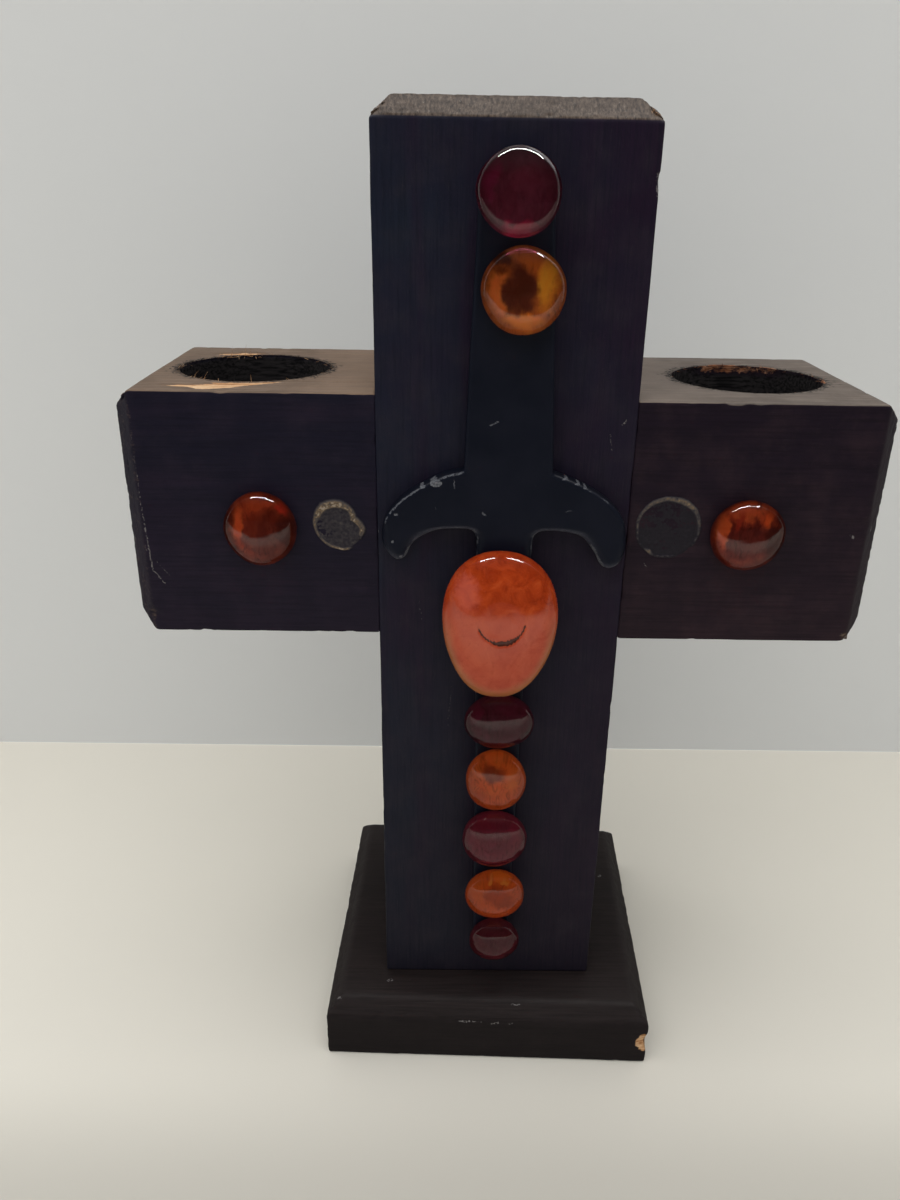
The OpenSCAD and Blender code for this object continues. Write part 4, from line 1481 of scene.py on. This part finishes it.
# ---------------------------------------------------------------- glue
def build_ring(name, node, outline, table, film, film_tone, seed):
    """A ring of dried glue with a thin film inside it.

    outline: (x, z) from the ring's centre. table: angle in degrees, width, height, tone.
    film is the film's thickness and film_tone its paleness.
    """
    centre_x, centre_z, _, _, _, back = face_box(node)
    sides, rings = 240, 56
    theta = np.linspace(0, 2 * math.pi, sides, endpoint=False)
    degrees = np.degrees(theta)

    def round_the_ring(angles, values):
        around = np.concatenate([angles - 360, angles, angles + 360])
        return np.interp(degrees, around, np.tile(values, 3))[:, None]

    angles = np.array([math.degrees(math.atan2(z, x)) % 360 for x, z in outline])
    reach = np.array([math.hypot(x, z) for x, z in outline])
    order = np.argsort(angles)
    line = round_the_ring(angles[order], reach[order])
    table = np.array(table, float)
    width, rise, tone = (round_the_ring(table[:, 0], table[:, k]) for k in (1, 2, 3))
    reach_max = reach.max() + 1.0
    angle, radius = np.meshgrid(theta, np.linspace(0.0, reach_max, rings)[1:], indexing="ij")
    x, z = radius * np.cos(angle), radius * np.sin(angle)
    spots = columns(x.ravel() + seed, 0.0, z.ravel())
    broad = noise(spots, 3.0, 3, seed).reshape(x.shape)
    fine = noise(spots, 0.85, 3, seed + 5).reshape(x.shape)
    rim = line * (1 + 0.035 * broad) - width * 0.5
    wavy_width = width * (0.85 + 0.35 * fine)
    away = np.abs(radius - rim) / (0.55 * np.maximum(wavy_width, 0.05))
    band = ease(1.35, 0.5, away + 0.75 * fine) * ease(0.05, 0.25, tone)
    bead = (rise + 0.12) * band * (0.75 + 0.6 * fine)
    inner = ease(rim + 0.1, rim - 0.5, radius)
    height = np.maximum(np.maximum(bead, 0),
                        film * inner * np.clip(0.55 + 0.7 * broad + 0.5 * fine, 0, 2))
    height = height * ease(reach_max, reach_max * 0.95, radius)
    shade = np.clip(band * (tone - 0.08 + 0.75 * fine), 0, 1.1)
    smear = ease(0.1, 0.42, noise(spots, (3.6, 1, 1.8), 3, seed + 9).reshape(x.shape))
    film_shade = 0.2 + 0.22 * smear + 0.4 * np.clip(fine + 0.25, 0, 1)
    shade = np.maximum(shade, film_tone * inner * film_shade)

    top = columns(centre_x + x, back - 0.012 - height, centre_z + z)
    points = np.vstack([[[centre_x, back - 0.012 - 0.5 * film, centre_z]], top.reshape(-1, 3)])
    shade = np.concatenate([[0.1], shade.ravel()])
    # Only faces that touch glue of some thickness stay
    keep = height > 0.018
    index = 1 + np.arange(sides * (rings - 1)).reshape(sides, rings - 1)
    faces = []
    for k in range(sides):
        after = (k + 1) % sides
        if keep[k, 0] and keep[after, 0]:
            faces.append([0, int(index[k, 0]), int(index[after, 0])])
        for j in range(rings - 2):
            if keep[k, j] or keep[after, j] or keep[k, j + 1] or keep[after, j + 1]:
                faces.append([int(index[k, j]), int(index[k, j + 1]),
                              int(index[after, j + 1]), int(index[after, j])])
    used = np.unique(np.concatenate([np.array(f) for f in faces]))
    place = -np.ones(len(points), int)
    place[used] = np.arange(len(used))
    points, shade = points[used], shade[used]
    faces = [[int(place[i]) for i in f] for f in faces]
    # A flat copy at the back, and walls between the two
    count = len(points)
    flat = points.copy()
    flat[:, 1] = back
    edges = {(a, b) for f in faces for a, b in zip(f, f[1:] + f[:1])}
    walls = [[b, a, a + count, b + count] for a, b in edges if (b, a) not in edges]
    back_faces = [[i + count for i in f[::-1]] for f in faces]
    ob = new_mesh(name, np.vstack([points, flat]), faces + back_faces + walls,
                  thick=np.concatenate([shade, shade]))
    fix_normals(ob)
    return ob


def build_glue_dabs():
    """One squeezed-out dab behind each gem and the stone, all in one mesh."""
    parts, faces = [], []
    sides = 72
    theta = np.linspace(0, 2 * math.pi, sides, endpoint=False)
    first = 0
    for i, node in enumerate(GEM_NODES + ["stone_oval"]):
        centre_x, centre_z, half_x, half_z, _, front = face_box(node)
        back = front + 0.4
        half_x, half_z = half_x * 0.8, half_z * 0.8
        if node not in ("gem_arm_left", "gem_arm_right"):
            half_x = min(half_x, 6.2 if box_mm(node)[0][2] < 150 else 7.4)
        rng = np.random.default_rng(500 + i)
        wave = 1 + sum(0.05 * rng.uniform(-1, 1) * np.cos(k * theta + rng.uniform(0, 6.3))
                       for k in (2, 3, 5, 7))
        # Share of the outline and y
        rows = [(0.35, back), (0.75, back), (0.97, back - 0.03), (1.02, back - 0.16),
                (1.0, front + 0.05), (0.94, front + 0.012), (0.7, front + 0.008),
                (0.35, front + 0.008)]
        for share, y in rows:
            parts.append(columns(centre_x + half_x * share * wave * np.cos(theta), y,
                                 centre_z + half_z * share * wave * np.sin(theta)))
        parts.append([[centre_x, back, centre_z], [centre_x, front + 0.008, centre_z]])
        caps = first + len(rows) * sides
        faces += loft_faces(first, len(rows), sides, start_cap=caps, end_cap=caps + 1)
        first = caps + 2
    ob = new_mesh("gem_glue_dabs", np.vstack(parts), faces, thick=np.full(first, 0.5))
    fix_normals(ob)
    return ob


# ---------------------------------------------------------------- screws
def build_screws():
    """Two countersunk cross-recess screws, heads down, their threads up into the post."""
    length = SCREW_HIGH[2] - SCREW_LOW[2]
    sides = 64
    theta = np.linspace(0, 2 * math.pi, sides, endpoint=False)
    cross = 0.42 + 0.58 * np.abs(np.cos(2 * theta)) ** 6
    # Radius and height of each ring: the recess from its floor out, the head, the shank
    rows = [(radius * cross, z)
            for radius, z in ((0.7875, 2.0), (1.1925, 1.9), (1.53, 1.5), (2.0, 0.35))]
    rows += [(2.07 * cross + 0.06, 0.03), (2.6, 0.0), (3.9, 0.02), (4.08, 0.18), (4.08, 0.5),
             (2.1, 2.5)]
    pitch, thread_start = 1.8, 18
    for k in range(1, 120):
        z = 2.5 + (length - 4 - 2.5) * k / 119
        phase = (z - thread_start) / pitch * 2 * math.pi
        thread = 0.42 * ease(18, 20, z) * (0.5 + 0.5 * np.cos(theta - phase)) ** 2
        rows.append((1.66 + 0.42 * ease(21, 18, z) + thread, z))
    rows += [(1.9 * (1 - k / 12) + 0.35, length - 4 + 4 * k / 12) for k in range(1, 12)]
    parts, faces = [], []
    first = 0
    for side in (-1, 1):
        x = side * SCREW_X
        parts.append([[x, 0.0, SCREW_LOW[2] + 2.05]])
        for radius, z in rows:
            parts.append(columns(x + radius * np.cos(theta), radius * np.sin(theta),
                                 SCREW_LOW[2] + z))
        parts.append([[x, 0.0, SCREW_LOW[2] + length]])
        tip = first + 1 + len(rows) * sides
        faces += loft_faces(first + 1, len(rows), sides, start_cap=first, end_cap=tip)
        first = tip + 1
    ob = new_mesh("base_wood_screws", np.vstack(parts), faces)
    fix_normals(ob)
    return ob


# ---------------------------------------------------------------- pieces
def finish_piece(ob, material, node):
    ob.data.materials.clear()
    ob.data.materials.append(material)
    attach(ob, "root")
    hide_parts(node)


post_marks = marks_at(FRONT, [
    (29.2, 196.9, 28.1, 195.7, 0.26), (25.3, 193.2, 26.0, 189.4, 0.2),
    (-21.5, 150.2, -20.6, 143.0, 0.1), (-12.0, 128.0, -13.4, 110.0, 0.08),
    (31.4, 251.5, 31.6, 247.0, 0.34), (-31.6, 168.0, -31.7, 161.0, 0.15)])
finish_piece(
    build_post(),
    paint_material("post_black_paint", grain=2, cool=(0.0098, 0.014, 0.029),
                   plum=(0.015, 0.0066, 0.0205), warm=(0.0175, 0.014, 0.0178),
                   end_grain_z=POST_HIGH[2] - POST_CHAMFER, spec=(0.14, 0.12),
                   scratches=post_marks, seed=1.0),
    "post")

# Arm tops: the browner top colour with its painted sheen, and painted light near the post
ARM_PAINT = dict(grain=0, top_wear_and_sheen_mix=0.95, painted_light_near_post=True, spec=(0.14, 0.14))
left_marks = marks_at(FRONT, [
    (-91.5, 192.9, -90.8, 168.5, 0.2), (-90.8, 168.5, -90.0, 156.0, 0.24),
    (-90.0, 156.0, -87.3, 152.3, 0.22), (-89.0, 158.8, -85.6, 154.2, 0.14),
    (-92.6, 171.0, -91.0, 161.0, 0.12)])
right_marks = (marks_at(FRONT, [(89.0, 168.0, 89.6, 167.4, 0.38)])
               + marks_at(FRONT + 2, [(94.0, 171.0, 94.6, 168.8, 0.34)])
               + marks_at(FRONT, [(91.8, 140.2, 92.4, 139.4, 0.32),
                                  (36.4, 160.0, 37.6, 158.9, 0.2)]))
finish_piece(
    build_arm(-1),
    paint_material("arm_left_black_paint", cool=(0.0096, 0.0084, 0.0205),
                   plum=(0.013, 0.0082, 0.0205), warm=(0.018, 0.0112, 0.02),
                   floor_reflection_z=(190, 125), top_wear_and_sheen_color=(0.15, 0.098, 0.064), scratches=left_marks,
                   seed=4.0, **ARM_PAINT),
    "arm_left")
finish_piece(
    build_arm(1),
    paint_material("arm_right_black_paint", cool=(0.0098, 0.0068, 0.013),
                   plum=(0.0128, 0.007, 0.015), warm=(0.029, 0.015, 0.0175),
                   floor_reflection_z=(190, 120), top_wear_and_sheen_color=(0.135, 0.105, 0.084), bare=BARE_TIMBER_DARK,
                   scratches=right_marks, seed=7.0, **ARM_PAINT),
    "arm_right")

# Scratches in the board's own axes: along its front face, then on its front chamfer and top
board_front = -BASE_DEPTH / 2
board_marks = marks_at(board_front + 0.1, [
    (-8.6, 14.8, -5.4, 14.7, 0.32), (-4.4, 14.7, -1.9, 14.8, 0.28),
    (1.4, 14.2, 3.4, 14.6, 0.42), (6.3, 14.5, 7.5, 14.5, 0.28)]) + [
    ((7.4, board_front + 3.3, 18.6), (9.9, board_front + 3.4, 18.7), 0.3),
    ((-46.6, board_front + 3.6, 18.6), (-45.2, board_front + 3.9, 18.8), 0.5),
    ((-31.0, -35.9, 19.6), (-30.2, -35.6, 19.6), 0.55),
    ((40.2, 15.6, 19.6), (40.9, 15.9, 19.6), 0.45)]
board_marks = [(base_point(*start), base_point(*end), r) for start, end, r in board_marks]
finish_piece(
    build_base(),
    paint_material("base_black_paint", grain=0, cool=(0.014, 0.011, 0.0118),
                   plum=(0.0155, 0.0112, 0.0122), warm=(0.015, 0.011, 0.011),
                   top_wear_and_sheen_color=(0.026, 0.018, 0.016), top_wear_and_sheen_mix=0.35, spec=(0.14, 0.13),
                   scratches=board_marks, seed=11.0),
    "base")

sword_front = box_mm("sword")[0][1]
sword_marks = []
for paths, mark_radius in ((RUBBED_LEFT, 0.33), (RUBBED_RIGHT, 0.17)):
    for path in paths:
        sword_marks += marks_at(sword_front + 0.3, [(*a, *b, mark_radius)
                                                    for a, b in zip(path[:-1], path[1:])])
sword_marks += marks_at(sword_front, [
    (-12.5, 182.7, -12.3, 180.6, 0.2), (-4.0, 196.2, -2.2, 197.1, 0.24),
    (-5.3, 174.4, -4.7, 173.8, 0.34), (-17.6, 176.2, -16.8, 175.2, 0.14),
    (15.2, 174.9, 16.6, 175.2, 0.12)])
finish_piece(build_sword(), sword_material(sword_marks), "sword")


def add_gem(node, kind, seed, stretch, tints, rim, core, core_at, core_size, mottle, edge,
            patches, tilt=0.18):
    """A gem of clear glass, its flat back painted with what one sees through it, painted glow and
    highlights included.
    """
    piece = f"{node}_{kind}"
    ob, centre, size, back = build_gem(piece, node, stretch, seed, tilt)
    glass = gem_glass(piece + "_glass", *tints, seed=seed * 0.37)
    behind = gem_back_painted_glow(piece + "_back", centre, size, rim, core, core_at, core_size, patches,
                      mottle, edge, seed=seed * 0.61)
    finish_piece(ob, glass, node)
    mesh = ob.data
    mesh.materials.append(behind)
    flat = [polygon.center.y > (back - 0.06) * MM for polygon in mesh.polygons]
    mesh.polygons.foreach_set("material_index", np.array(flat, np.int32))
    mesh.update()


PLUM, DEEP_PLUM = (0.66, 0.2, 0.3), (0.52, 0.12, 0.19)
ORANGE, DEEP_ORANGE = (1.0, 0.42, 0.15), (0.95, 0.3, 0.12)

# Bright rims and pale patches on the backs are painted light: glow caught in the glass, and
# highlights
add_gem("gem_pommel", "garnet", 31, stretch=(1.0, 1.0), tilt=-0.22, tints=(PLUM, DEEP_PLUM),
        rim=(0.15, 0.05, 0.075), core=(0.125, 0.062, 0.075), core_at=(0.4, 1.0),
        core_size=(6.6, 6.2), mottle=0.55, edge=0.55, patches=[
            ((-6.0, 2.4), (2.2, 4.2), (0.24, 0.045, 0.12), 0.85),
            ((0.2, -6.6), (3.8, 1.4), (0.52, 0.05, 0.14), 0.9),
            ((1.5, 2.5), (2.8, 2.0), (0.2, 0.09, 0.11), 0.5)])
add_gem("gem_grip", "amber", 32, stretch=(0.995, 1.015), tilt=-0.04,
        tints=((1.0, 0.54, 0.2), (1.0, 0.44, 0.15)),
        rim=(0.72, 0.31, 0.12), core=(0.13, 0.045, 0.06), core_at=(-0.6, 0.2),
        core_size=(4.3, 5.6), mottle=0.5, edge=0.45, patches=[
            ((4.6, 1.4), (2.0, 4.6), (1.0, 0.76, 0.16), 0.9),
            ((-5.2, -0.8), (1.7, 4.2), (0.95, 0.42, 0.22), 0.8),
            ((-4.6, 5.4), (2.6, 2.2), (0.1, 0.02, 0.02), 0.95),
            # A bright band low down: painted glow of light focused through the glass
            ((0.2, -6.0), (5.4, 2.0), (1.0, 0.5, 0.1), 0.95),
            ((1.2, 6.4), (3.4, 1.2), (0.62, 0.26, 0.06), 0.7),
            ((-0.6, 1.2), (2.0, 3.0), (0.09, 0.03, 0.04), 0.8)])
add_gem("gem_blade_1", "garnet", 33, stretch=(1.13, 0.985), tints=(PLUM, DEEP_PLUM),
        rim=(0.2, 0.05, 0.086), core=(0.15, 0.056, 0.075), core_at=(0.0, 1.0),
        core_size=(6.4, 4.8), mottle=0.6, edge=0.7, patches=[
            ((-5.0, 1.2), (1.4, 2.4), (0.26, 0.04, 0.1), 0.6),
            ((2.6, 3.0), (3.0, 1.4), (0.2, 0.04, 0.08), 0.6)])
add_gem("gem_blade_2", "orange", 34, stretch=(0.945, 1.075), tints=(ORANGE, DEEP_ORANGE),
        rim=(0.9, 0.36, 0.14), core=(0.36, 0.12, 0.07), core_at=(-1.0, 2.2),
        core_size=(3.0, 2.2), mottle=0.45, edge=0.25, patches=[
            ((4.0, 0.0), (1.6, 4.0), (0.95, 0.48, 0.18), 0.7),
            ((-3.6, -4.2), (2.6, 2.0), (0.7, 0.24, 0.12), 0.6),
            ((0.5, 5.2), (3.0, 1.2), (1.0, 0.42, 0.12), 0.6)])
add_gem("gem_blade_3", "garnet", 35, stretch=(0.995, 1.03), tints=((0.74, 0.21, 0.29), PLUM),
        rim=(0.35, 0.086, 0.125), core=(0.26, 0.078, 0.105), core_at=(0.2, 0.8),
        core_size=(5.2, 4.4), mottle=0.6, edge=0.7, patches=[
            ((4.8, 2.0), (1.6, 2.6), (0.36, 0.07, 0.12), 0.7),
            ((-2.8, 3.8), (3.0, 1.4), (0.3, 0.05, 0.09), 0.6)])
add_gem("gem_blade_4", "orange", 36, stretch=(1.005, 1.005), tints=(ORANGE, ORANGE),
        rim=(0.86, 0.27, 0.11), core=(0.55, 0.15, 0.08), core_at=(0.5, -0.5),
        core_size=(4.0, 3.0), mottle=0.5, edge=0.2, patches=[
            ((0.6, 4.2), (2.8, 1.1), (1.0, 0.4, 0.1), 0.95),
            # Two small pale spots near the crown: painted highlights
            ((-1.4, 3.0), (0.9, 0.8), (1.0, 0.62, 0.22), 0.95),
            ((2.0, 3.2), (0.7, 0.6), (1.0, 0.62, 0.22), 0.9),
            ((-4.2, 1.0), (1.5, 3.0), (0.92, 0.36, 0.15), 0.6)])
add_gem("gem_blade_5", "red", 37, stretch=(1.005, 1.005),
        tints=((0.66, 0.22, 0.26), DEEP_PLUM),
        rim=(0.24, 0.066, 0.086), core=(0.19, 0.074, 0.088), core_at=(0.0, 0.8),
        core_size=(5.0, 3.8), mottle=0.6, edge=0.7, patches=[
            ((-3.6, -2.0), (1.8, 2.0), (0.24, 0.05, 0.07), 0.6)])
add_gem("gem_arm_left", "orange", 38, stretch=(0.975, 1.035), tilt=0.1,
        tints=((0.92, 0.32, 0.19), (0.85, 0.22, 0.13)),
        rim=(0.55, 0.19, 0.09), core=(0.17, 0.06, 0.045), core_at=(0.8, -1.6),
        core_size=(6.2, 6.2), mottle=0.85, edge=0.95, patches=[
            ((-5.2, 1.2), (1.3, 4.2), (0.95, 0.4, 0.16), 0.9),
            ((-0.5, 5.8), (4.8, 1.2), (0.7, 0.28, 0.12), 0.7),
            ((5.6, -0.5), (2.2, 5.2), (0.07, 0.02, 0.022), 0.95),
            ((4.4, 4.4), (2.0, 1.3), (0.8, 0.12, 0.08), 0.8),
            ((-1.0, 1.0), (2.2, 3.4), (0.26, 0.085, 0.05), 0.5),
            ((0.6, -0.5), (1.2, 3.0), (0.1, 0.03, 0.03), 0.6)])
add_gem("gem_arm_right", "orange", 39, stretch=(1.008, 0.992), tilt=0.1,
        tints=((0.92, 0.32, 0.2), (0.85, 0.22, 0.14)),
        rim=(0.6, 0.21, 0.1), core=(0.15, 0.05, 0.05), core_at=(0.4, -1.6),
        core_size=(6.4, 6.2), mottle=0.9, edge=0.95, patches=[
            ((-5.2, 1.0), (1.3, 4.0), (0.92, 0.42, 0.15), 0.85),
            ((-0.6, 5.7), (4.8, 1.2), (0.8, 0.36, 0.15), 0.8),
            ((5.8, -0.6), (2.0, 4.6), (0.06, 0.02, 0.025), 0.95),
            ((4.4, 4.2), (1.2, 2.2), (1.0, 0.4, 0.12), 0.85),
            ((-1.6, 3.2), (1.0, 2.6), (0.45, 0.1, 0.07), 0.6),
            ((1.6, 2.4), (1.2, 2.8), (0.09, 0.03, 0.04), 0.75),
            ((-3.4, 1.6), (0.8, 2.6), (0.12, 0.03, 0.035), 0.7)])

finish_piece(build_stone(), stone_material(), "stone_oval")

glue = glue_material()
finish_piece(build_glue_dabs(), glue, "gem_glue")

LEFT_OUTLINE = [(-6.7, 1.6), (-4.7, 5.9), (-0.8, 7.0), (2.2, 5.9), (4.4, 2.5), (6.6, -0.7),
                (5.7, -2.8), (4.4, -4.9), (2.2, -6.5), (-0.8, -6.3), (-4.2, -4.5), (-6.2, -1.7)]
LEFT_TABLE = [
    (0, 1.9, 0.42, 0.85), (28, 2.1, 0.46, 0.95), (60, 1.7, 0.4, 0.8), (90, 2.4, 0.5, 0.95),
    (120, 2.6, 0.55, 1.0), (150, 2.1, 0.48, 0.9), (175, 1.0, 0.3, 0.74), (200, 0.8, 0.24, 0.68),
    (235, 0.8, 0.26, 0.82), (265, 0.8, 0.3, 0.95), (288, 0.8, 0.26, 0.8), (303, 0.3, 0.06, 0.0),
    (322, 0.3, 0.06, 0.0), (338, 1.3, 0.34, 0.75)]
# A near circle: the share of the radius every 30 degrees
RIGHT_SHARES = (1.0, 1.02, 1.03, 0.99, 1.0, 1.02, 0.98, 0.99, 1.0, 0.98, 0.99, 1.0)
RIGHT_OUTLINE = [(8.4 * math.cos(math.radians(30 * k)) * share,
                  8.3 * math.sin(math.radians(30 * k)) * share)
                 for k, share in enumerate(RIGHT_SHARES)]
RIGHT_TABLE = [
    (0, 0.9, 0.2, 0.48), (30, 1.2, 0.26, 0.66), (60, 1.8, 0.32, 0.8), (90, 1.3, 0.28, 0.72),
    (120, 1.2, 0.26, 0.7), (150, 1.0, 0.24, 0.58), (180, 0.8, 0.2, 0.46), (205, 0.6, 0.14, 0.26),
    (225, 0.6, 0.12, 0.22), (236, 1.3, 0.36, 1.0), (246, 0.6, 0.12, 0.25), (275, 0.7, 0.18, 0.36),
    (300, 0.5, 0.06, 0.0), (315, 0.5, 0.06, 0.0), (335, 0.6, 0.16, 0.3)]
for node, outline, table, film, film_tone, seed in (
        ("glue_ring_left", LEFT_OUTLINE, LEFT_TABLE, 0.2, 0.8, 601),
        ("glue_ring_right", RIGHT_OUTLINE, RIGHT_TABLE, 0.12, 0.16, 651)):
    ring = build_ring(node + "_dried", node, outline, table, film, film_tone, seed)
    finish_piece(ring, glue, node)

finish_piece(build_screws(), steel_material(), "base_screws")

dowel_wood = dowel_material()
for node in ("dowels_left", "dowels_right"):
    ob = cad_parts[node]
    if len(ob.material_slots) == 0:
        ob.data.materials.append(dowel_wood)
    for material_slot in ob.material_slots:
        material_slot.material = dowel_wood


# ---------------------------------------------------------------- stage
def see_through_back(m):
    """Lets a stage surface be looked through from behind, and light pass close under it."""
    backfacing = m.out("NewGeometry", output="Backfacing")
    clear = m.out("BsdfTransparent")
    path = m.make("LightPath").outputs
    near = m.times(m.math("LESS_THAN", path["Ray Length"], 0.0006),
                   m.math("SUBTRACT", 1.0, path["Is Camera Ray"]))
    mixed = m.out("MixShader", {0: m.math("MAXIMUM", backfacing, near),
                                1: m.surface.outputs[0], 2: clear})
    m.put(m.output.inputs[0], mixed)


def floor_material():
    """A pale table top."""
    m = Material("floor_pale")
    color = m.mix(m.noise(0.004, detail=3, seed=3), (0.735, 0.695, 0.605), (0.765, 0.73, 0.645))
    y = m.split(m.pos)[1]
    path = m.make("LightPath").outputs
    # Darker towards the front: y range, amounts at its ends, the rays that see it, colour.
    # The room before the table is dark, so reflections of the table end there, painted dark for
    # glossy rays; the camera sees a painted shade on the floor's front.
    for span, ray, tone in (((-340.0, -420.0, 0.0, 1.0), "Is Glossy Ray", (0.03, 0.03, 0.03)),
                            ((-150.0, -270.0, 0.58, 0.0), "Is Glossy Ray", (0.03, 0.03, 0.03)),
                            ((-50.0, -98.0, 0.0, 0.3), "Is Camera Ray", (0.03, 0.026, 0.02))):
        color = m.mix(m.times(m.map(y, *span), path[ray]), color, tone)
    m.finish(color=color, rough=0.6, spec=0.2)
    see_through_back(m)
    return m.material


def backdrop_material():
    m = Material("backdrop_pale")
    m.finish(color=(0.76, 0.765, 0.755), rough=0.7, spec=0.2)
    see_through_back(m)
    return m.material


def stage_plane(name, corners, material):
    """A single face; its corners are in metres."""
    mesh = bpy.data.meshes.new(name)
    mesh.from_pydata(corners, [], [(0, 1, 2, 3)])
    ob = link_object(name, mesh)
    mesh.materials.append(material)


FLOOR_Z, FLOOR_HALF = -0.00015, 3
stage_plane("floor", [(x * FLOOR_HALF, y * FLOOR_HALF, FLOOR_Z)
                      for x, y in ((-1, -1), (1, -1), (1, 1), (-1, 1))], floor_material())
WALL_Y, WALL_HALF, WALL_TOP = 0.128, 1.6, 0.46
stage_plane("backdrop", [(-WALL_HALF, WALL_Y, 0), (WALL_HALF, WALL_Y, 0),
                         (WALL_HALF, WALL_Y, WALL_TOP), (-WALL_HALF, WALL_Y, WALL_TOP)],
            backdrop_material())


def area_light(name, location, target, size, power, color):
    """A rectangular light aimed at target; places and sizes in metres."""
    light = bpy.data.lights.new(name, "AREA")
    light.shape = "RECTANGLE"
    light.size, light.size_y = size
    light.energy = power
    light.color = color
    ob = bpy.data.objects.new(name, light)
    ob.location = location
    direction = Vector(target) - Vector(location)
    ob.rotation_euler = direction.to_track_quat("-Z", "Y").to_euler()
    bpy.context.scene.collection.objects.link(ob)
    return ob


# A long ceiling tube seen only in reflections, and a wide soft light left out of them
tube = area_light("ceiling_tube", location=(0.05, 0.0, 1.15), target=(0.05, 0.0, 0.0),
                  size=(1.2, 0.08), power=16.0, color=(1.0, 0.985, 0.96))
tube.visible_diffuse = False
soft = area_light("ceiling_soft", location=(-0.25, -0.15, 1.6), target=(-0.1, -0.15, 0.0),
                  size=(2.2, 2.0), power=24.5, color=(0.985, 0.99, 1.0))
soft.visible_glossy = False


def build_world():
    """Even light, but reflections see a bright back, a faint ceiling and a window."""
    world = bpy.data.worlds.new("world")
    bpy.context.scene.world = world
    world.use_nodes = True
    g = Graph(world.node_tree)
    direction = g.out("TexCoord", output="Generated")
    _, y, z = g.split(direction)
    path = g.make("LightPath").outputs
    behind = g.times(g.map(y, 0.0, 0.25), 0.5)
    above = g.times(g.map(z, 0.55, 0.92), 0.1)
    towards_window = tuple(Vector((0.55, 0.45, 0.7)).normalized())
    facing = g.vec("DOT_PRODUCT", direction, towards_window)
    window = g.times(g.map(facing, 0.9, 0.97), 1.6)
    glossy = g.plus(g.plus(behind, above), g.plus(window, 0.015))
    even = 0.56
    strength = g.linear(path["Is Glossy Ray"], g.math("SUBTRACT", glossy, even), even)
    strength = g.linear(path["Is Camera Ray"], 0.32, strength)
    background = g.out("Background", {"Strength": strength, "Color": (0.97, 0.985, 1.0)})
    g.make("OutputWorld", {0: background})
    world.cycles.sampling_method = "NONE"


build_world()

# ---------------------------------------------------------------- camera
# Angles in radians; the place is in metres from the middle of the post's front
YAW, PITCH, ROLL = 0.012, 0.419, 0.018
forward = Vector((math.sin(YAW) * math.cos(PITCH), math.cos(YAW) * math.cos(PITCH),
                  -math.sin(PITCH)))
level_right = Vector((math.cos(YAW), -math.sin(YAW), 0))
level_up = level_right.cross(forward)
right = math.cos(ROLL) * level_right + math.sin(ROLL) * level_up
up = -math.sin(ROLL) * level_right + math.cos(ROLL) * level_up
lens = bpy.data.cameras.new("camera")
camera = link_object("camera", lens)
turn = Matrix((right, up, -forward)).transposed().to_4x4()
post_low, post_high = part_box("post")
camera.matrix_world = Matrix.Translation(((post_low.x + post_high.x) / 2 - 0.0126,
                                          post_low.y - 0.22595, 0.24926)) @ turn
lens.sensor_width = 36.0
lens.sensor_fit = "AUTO"
lens.lens = 28.26501
lens.shift_x = -0.01041667
lens.clip_start = 0.01
lens.clip_end = 20.0
scene = bpy.context.scene
scene.camera = camera

scene.view_settings.view_transform = "Standard"
scene.view_settings.look = "None"
scene.view_settings.exposure = 0.0
scene.view_settings.gamma = 1.0
